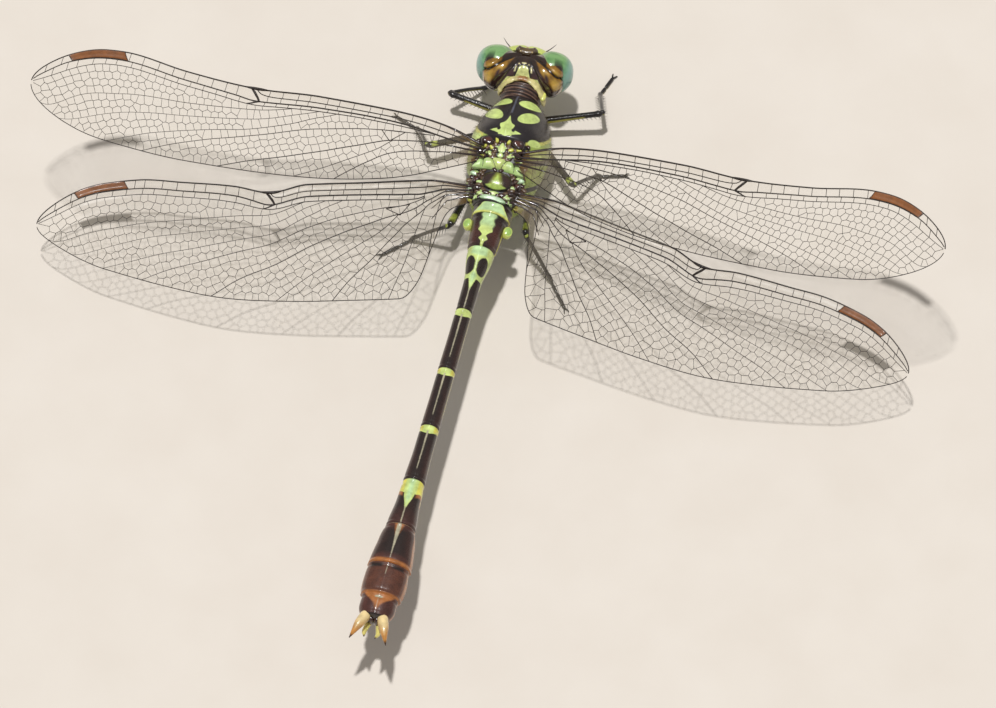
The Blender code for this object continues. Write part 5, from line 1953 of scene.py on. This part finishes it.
    def build_nodus(self) -> None:
        """The nodus: a stout kinked cross piece where the second vein meets the rim."""
        at = self.plan.nodus
        share = np.array(
            [at + 0.01, at + 0.002, at - 0.006, at - 0.01, at - 0.004, at + 0.008, at + 0.018])
        chord = np.stack(
            [self.line(name, share) for name in ("costa", "radius", "sector")], axis=1)
        weights = np.array([[1.0, 0.0, 0.0], [0.75, 0.25, 0.0], [0.35, 0.65, 0.0], [0.0, 1.0, 0.0],
                            [0.0, 0.8, 0.2], [0.0, 0.3, 0.7], [0.0, 0.0, 1.0]])
        path = self.place(share, (chord * weights).sum(axis=1))
        radius = np.array([0.05, 0.095, 0.085, 0.085, 0.06, 0.045, 0.03])
        rim_share = np.linspace(at - 0.028, at + 0.022, 7)
        rim = self.place(rim_share, 0.0 * rim_share)
        rim_radius = np.array([0.05, 0.085, 0.105, 0.11, 0.105, 0.085, 0.05])
        shape = bundle(np.stack([path, rim]), np.stack([radius, rim_radius]), 10, self.axes[2])
        self.add("nodus", shape, VEIN_SHELL)

    def build_stigma(self) -> None:
        """The stigma: a thick coloured slab between rim and third vein with slanting ends."""
        first, last = self.plan.stigma
        run = even(90)[:, None]
        part = even(22)[None, :]
        share = first + (last - first) * run + 0.01 * (0.5 - part)
        chord = self.line("radius", share) * part
        bulge = 0.075 * np.sqrt(
            np.clip(1.0 - (2.0 * run - 1.0) ** 8, 0.02, 1.0)) * (1.0 + 0.0 * part)
        upper = self.place(share, chord)
        rings = np.concatenate([upper + bulge[..., None] * self.axes[2],
                                (upper - bulge[..., None] * self.axes[2])[:, ::-1]], axis=1)
        long = (last - first) * self.plan.span
        edge = 0.06 - np.minimum(np.minimum(part, 1.0 - part) * 0.62 + 0.0 * run,
                                 np.minimum(run, 1.0 - run) * long + 0.0 * part)
        self.add("stigma", ring_solid(rings), STIGMA_SHELL, {"line": folded(edge, edge)})

    def build_root(self) -> None:
        """The wing's root: stout stems that gather in the thorax, with a pale spot."""
        share = np.array([-0.012, 0.0, 0.02, 0.05, 0.085])
        stems = []
        for chord_in, chord_out in ((0.1, 0.0), (0.42, 0.3), (0.62, 0.46), (0.8, 0.62)):
            chord = np.linspace(chord_in, chord_out, 5)
            stems.append(self.place(np.maximum(share, 0.0), chord)
                         + np.minimum(share, 0.0)[:, None] * self.plan.span * self.axes[0])
        radius = np.array([[0.13, 0.12, 0.09, 0.06, 0.04]] * 4)
        radius[1:] *= 0.72
        shape = bundle(np.stack(stems), radius, 12, self.axes[2])
        self.add("root", shape, PLATE_DARK, {"heart": np.full(len(shape[0]), -0.2)})


# Legs

@dataclass
class Leg:
    """One leg: thigh with hip joint, shin and foot, with rows of spines and two claws."""

    bench: Workbench
    name: str
    thigh: float
    hip: Triple
    trochanter: Triple
    knee: Triple
    ankle: Pair
    tip: Pair
    striped: bool = False
    ankle_rise: float = 0.36
    shin_radius: float = 0.17
    foot_radius: float = 0.125
    spine_step: float = 0.3

    def build(self) -> None:
        """Make the thigh, shin, foot and spines."""
        self.build_femur()
        self.build_tibia()
        self.build_tarsus()
        self.build_spines()

    def limb(self, part: str, path: Array, radius: Array, knee_at: float, node: str) -> None:
        """One stretch of the leg, faintly ridged along its length.

        Args:
            part: The stretch's word in the piece's name.
            path: Its middle line.
            radius: Its radius at each point.
            knee_at: Share of the length where the knee spot lies; above 1 for none.
            node: Its word in the name of the CAD node that it replaces.
        """
        sides = 24
        vertices, faces = bundle(path[None], radius[None], sides)
        grid = vertices.reshape(len(path), sides, 3)
        spoke = grid - path[:, None]
        ridge = 1.0 + 0.05 * np.cos(np.arange(sides) * math.tau / sides * 6.0)
        grid = path[:, None] + spoke * ridge[None, :, None]
        unit = spoke / np.linalg.norm(spoke, axis=-1, keepdims=True)
        share = even(len(path))[:, None]
        stripe = unit[..., 1] * -0.75 + unit[..., 2] * -0.66 - 0.25
        stripe = np.where(self.striped, stripe * 0.3, -1.0) + 0.0 * share
        stripe = np.minimum(stripe, (0.86 - share) * 3.0)
        knee = np.minimum(0.1 - abs(share - knee_at) * 4.5, unit[..., 2] * 0.3 - 0.12)
        knee = np.where(self.striped, -1.0, knee)
        self.bench.add(f"{self.name}_{part}", (grid.reshape(-1, 3), faces), LEG_SHELL,
                       {"stripe": stripe, "knee": knee}, (f"{self.name}_{node}",))

    def build_femur(self) -> None:
        """Hip joint and thigh: swollen at the hip, waisted at the ring, knobbed at the knee."""
        hip, ring, knee = np.array((self.hip, self.trochanter, self.knee))
        path = spline(
            [hip, ring, ring + 0.12 * (knee - ring), ring + 0.5 * (knee - ring), knee], 72)
        share = even(72)
        radius = curve(
            ((0.0, 1.25), (0.16, 1.15), (0.25, 0.86), (0.33, 0.74), (0.42, 0.86), (0.6, 0.84),
             (0.82, 0.68), (0.93, 0.66), (0.97, 0.74), (1.0, 0.45)), share) * self.thigh
        self.limb("thigh", path, radius, 0.955, "femur")

    def build_tibia(self) -> None:
        """The shin: thin and straight, a little wider at both ends."""
        knee, ankle = np.array((self.knee, (*self.ankle, self.ankle_rise)))
        path = spline([knee, 0.5 * (knee + ankle) + (0.0, 0.0, 0.1), ankle], 50)
        share = even(50)
        radius = curve(((0.0, 0.9), (0.05, 1.25), (0.12, 0.9), (0.8, 0.82), (0.95, 1.05),
                        (1.0, 0.7)), share) * self.shin_radius
        self.limb("shin", path, radius, 0.03, "tibia")

    def build_tarsus(self) -> None:
        """The foot: three joints that lie on the floor, and two curved claws."""
        ankle = np.array((*self.ankle, self.ankle_rise))
        heel = np.array((*self.ankle, self.foot_radius + 0.05))
        tip = np.array((*self.tip, self.foot_radius))
        ahead = (tip - heel) / np.linalg.norm(tip - heel)
        path = spline([ankle, heel + ahead * 0.22, heel + (tip - heel) * 0.5, tip], 64)
        path[:, 2] = np.maximum(path[:, 2], self.foot_radius * 1.02)
        share = even(64)
        joints = 1.0 - 0.36 * (hump(share, 0.34, 0.03) + hump(share, 0.6, 0.03))
        radius = self.foot_radius * joints * np.where(share > 0.97, 0.7, 1.0)
        self.limb("foot", path, radius, 2.0, "tarsus")
        across = np.array([-ahead[1], ahead[0], 0.0])
        up = np.array([0.0, 0.0, 1.0])
        hook = ((0.04, 0.0, 0.0), (0.12, 0.16, 0.05), (0.17, 0.29, 0.01), (0.18, 0.37, -0.08))
        claws = [[tip + side.value * out * across + on * ahead + rise * up
                  for out, on, rise in hook] for side in Side]
        shape = bundle(np.array(claws), np.array([[0.06, 0.05, 0.032, 0.008]] * 2), 8)
        self.bench.add(self.name + "_claws", shape, SPINE_SHELL)

    def build_spines(self) -> None:
        """Two rows of thin cones under the thigh and the shin, raked towards the foot."""
        ring, knee, ankle = np.array((self.trochanter, self.knee, (*self.ankle, self.ankle_rise)))
        paths, radii = [], []
        for start, stop, thick, length, first in (
                (ring, knee, self.thigh * 0.75, 0.26, 0.35),
                (knee, ankle, self.shin_radius * 0.8, 0.5, 0.1)):
            line = stop - start
            reach = np.linalg.norm(line)
            line = line / reach
            across = np.cross(line, (0.0, 0.0, 1.0))
            across /= np.linalg.norm(across)
            under = np.cross(line, across)
            under *= -np.sign(under[2]) if abs(under[2]) > 1e-6 else 1.0
            at = np.arange(first * reach, 0.93 * reach, self.spine_step)[:, None]
            for side in Side:
                spoke = under * 0.62 + across * side.value * 0.78
                root = start + line * at + spoke * thick * 0.8
                point = root + (spoke * 0.82 + line * 0.57) * length
                point[:, 2] = np.maximum(point[:, 2], 0.02)
                paths.append(np.stack([root, 0.5 * (root + point) + line * 0.015, point], axis=1))
                radii.append(np.tile([0.026, 0.018, 0.004], (len(at), 1)))
        shape = bundle(np.concatenate(paths), np.concatenate(radii), 5, (0.23, 0.41, 0.88))
        self.bench.add(self.name + "_spines", shape, SPINE_SHELL)


# Studio

@dataclass
class Studio:
    """Camera, floor and light."""

    bench: Workbench
    elevation: float = 60.0        # degrees above the floor
    azimuth: float = 13.4          # degrees, turned to the animal's right
    distance: float = 1.6          # metres
    view_width: float = 71.14      # millimetres across the picture at the body
    aim: Triple = (0.179, -9.443, 8.9)   # along right, up and back
    sensor: float = 36.0
    floor_half: float = 30.0       # metres
    key_strength: float = 2.4
    key_width: float = 3.0         # degrees
    key_from: Triple = (-0.08, 0.02, 1.0)
    surround_strength: float = 0.33

    def directions(self) -> tuple[Array, Array, Array]:
        """The picture's right, up and back directions in the body's frame."""
        turn, lift = math.radians(self.azimuth), math.radians(self.elevation)
        right = np.array([math.cos(turn), math.sin(turn), 0.0])
        ahead, upright = np.array([-math.sin(turn), math.cos(turn), 0.0]), np.eye(3)[2]
        return (right, ahead * math.sin(lift) + upright * math.cos(lift),
                upright * math.sin(lift) - ahead * math.cos(lift))

    def build(self) -> None:
        """Set up the camera, the floor and the light."""
        self.build_camera()
        self.build_floor()
        self.build_light()

    def build_camera(self) -> None:
        """A camera far off with a long lens, so that near and far parts keep their scale."""
        right, up, back = self.directions()
        across, above, behind = self.aim
        target = right * across + up * above + back * behind
        place = self.bench.world(target) + back * self.distance
        data = bpy.data.cameras.new("camera")
        data.sensor_width = self.sensor
        data.lens = self.sensor * self.distance / (self.view_width * MM)
        data.clip_end = 200.0
        data.dof.use_dof = False
        camera = new_object("camera", data)
        turn = Matrix(np.stack([right, up, back], axis=1).tolist()).to_4x4()
        camera.matrix_world = Matrix.Translation(place) @ turn
        bpy.context.scene.camera = camera

    def build_floor(self) -> None:
        """A wide pale floor with a faint cloud in its tone."""
        half = self.floor_half
        mesh = bpy.data.meshes.new("floor")
        mesh.from_pydata([(-half, -half, 0.0), (half, -half, 0.0), (half, half, 0.0),
                          (-half, half, 0.0)], [], [(0, 1, 2, 3)])
        material, board, shader = new_material("floor_plaster")
        cloud = board.noise(board.place(), 160.0, 6.0)
        plaster = board.mix(cloud, Tone(222, 212, 200), Tone(232, 224, 214))
        board.fill(shader, Roughness=0.7, Base_Color=plaster)
        mesh.materials.append(material)
        new_object("floor", mesh)

    def build_light(self) -> None:
        """A key from almost straight above, as at noon, and an even pale surround."""
        data = bpy.data.lights.new("key", "SUN")
        data.energy, data.angle = self.key_strength, math.radians(self.key_width)
        key = new_object("key", data)
        key.rotation_euler = Vector(self.key_from).to_track_quat("Z", "Y").to_euler()
        world = bpy.data.worlds.new("surround")
        world.use_nodes = True
        background = world.node_tree.nodes["Background"]
        background.inputs["Color"].default_value = (1.0, 0.985, 0.96, 1.0)
        background.inputs["Strength"].default_value = self.surround_strength
        bpy.context.scene.world = world
        bpy.context.scene.view_settings.view_transform = "Standard"


def wings(bench: Workbench) -> list[Wing]:
    """The four wings in their resting places."""
    return [
        Wing(bench, "wing_front_left", FORE_PLAN, Side.LEFT, (-1.74, 1.92, 6.55), 7.8, 10.2,
             0.0),
        Wing(bench, "wing_front_right", FORE_PLAN, Side.RIGHT, (1.5, 1.85, 6.55), 5.0, 10.2,
             0.0),
        Wing(bench, "wing_hind_left", HIND_PLAN, Side.LEFT, (-1.73, -1.22, 5.85), 14.5, -4.0,
             4.0),
        Wing(bench, "wing_hind_right", HIND_PLAN, Side.RIGHT, (1.9, -1.03, 5.85), 11.0, -2.8,
             0.0),
    ]


def legs(bench: Workbench) -> list[Leg]:
    """The six legs in their standing places."""
    return [
        Leg(bench, "leg_front_left", 0.33, (-0.65, 7.95, 2.6), (-1.25, 8.0, 1.72),
            (-5.42, 8.35, 2.4), (-3.15, 10.61), (-2.8, 11.91), True),
        Leg(bench, "leg_front_right", 0.33, (0.75, 7.95, 2.6), (1.3, 7.95, 1.72),
            (5.72, 9.2, 2.5), (4.88, 12.0), (5.45, 13.62), True),
        Leg(bench, "leg_middle_left", 0.37, (-0.9, 6.35, 2.3), (-1.6, 6.45, 1.45),
            (-5.92, 3.78, 2.35), (-7.27, 6.18), (-8.98, 6.87)),
        Leg(bench, "leg_middle_right", 0.37, (1.1, 6.35, 2.3), (1.75, 6.3, 1.45),
            (5.02, 2.95, 2.35), (6.38, 5.35), (8.15, 5.86)),
        Leg(bench, "leg_hind_left", 0.39, (-0.95, 4.6, 2.1), (-1.65, 4.3, 1.35),
            (-2.72, -2.85, 3.2), (-5.51, -2.9), (-7.31, -4.59)),
        Leg(bench, "leg_hind_right", 0.39, (1.15, 4.6, 2.1), (1.8, 4.3, 1.35),
            (2.72, -2.2, 3.05), (5.06, -3.98), (6.5, -5.88)),
    ]


def main() -> None:
    """Build the animal on its frame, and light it."""
    logging.basicConfig(level=logging.INFO, format="%(message)s")
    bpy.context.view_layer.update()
    bench = Workbench()
    for sub_assembly in (Head(bench), Neck(bench), Thorax(bench), Abdomen(bench), *wings(bench),
                         *legs(bench), Studio(bench)):
        sub_assembly.build()


if __name__ == "__main__":
    main()
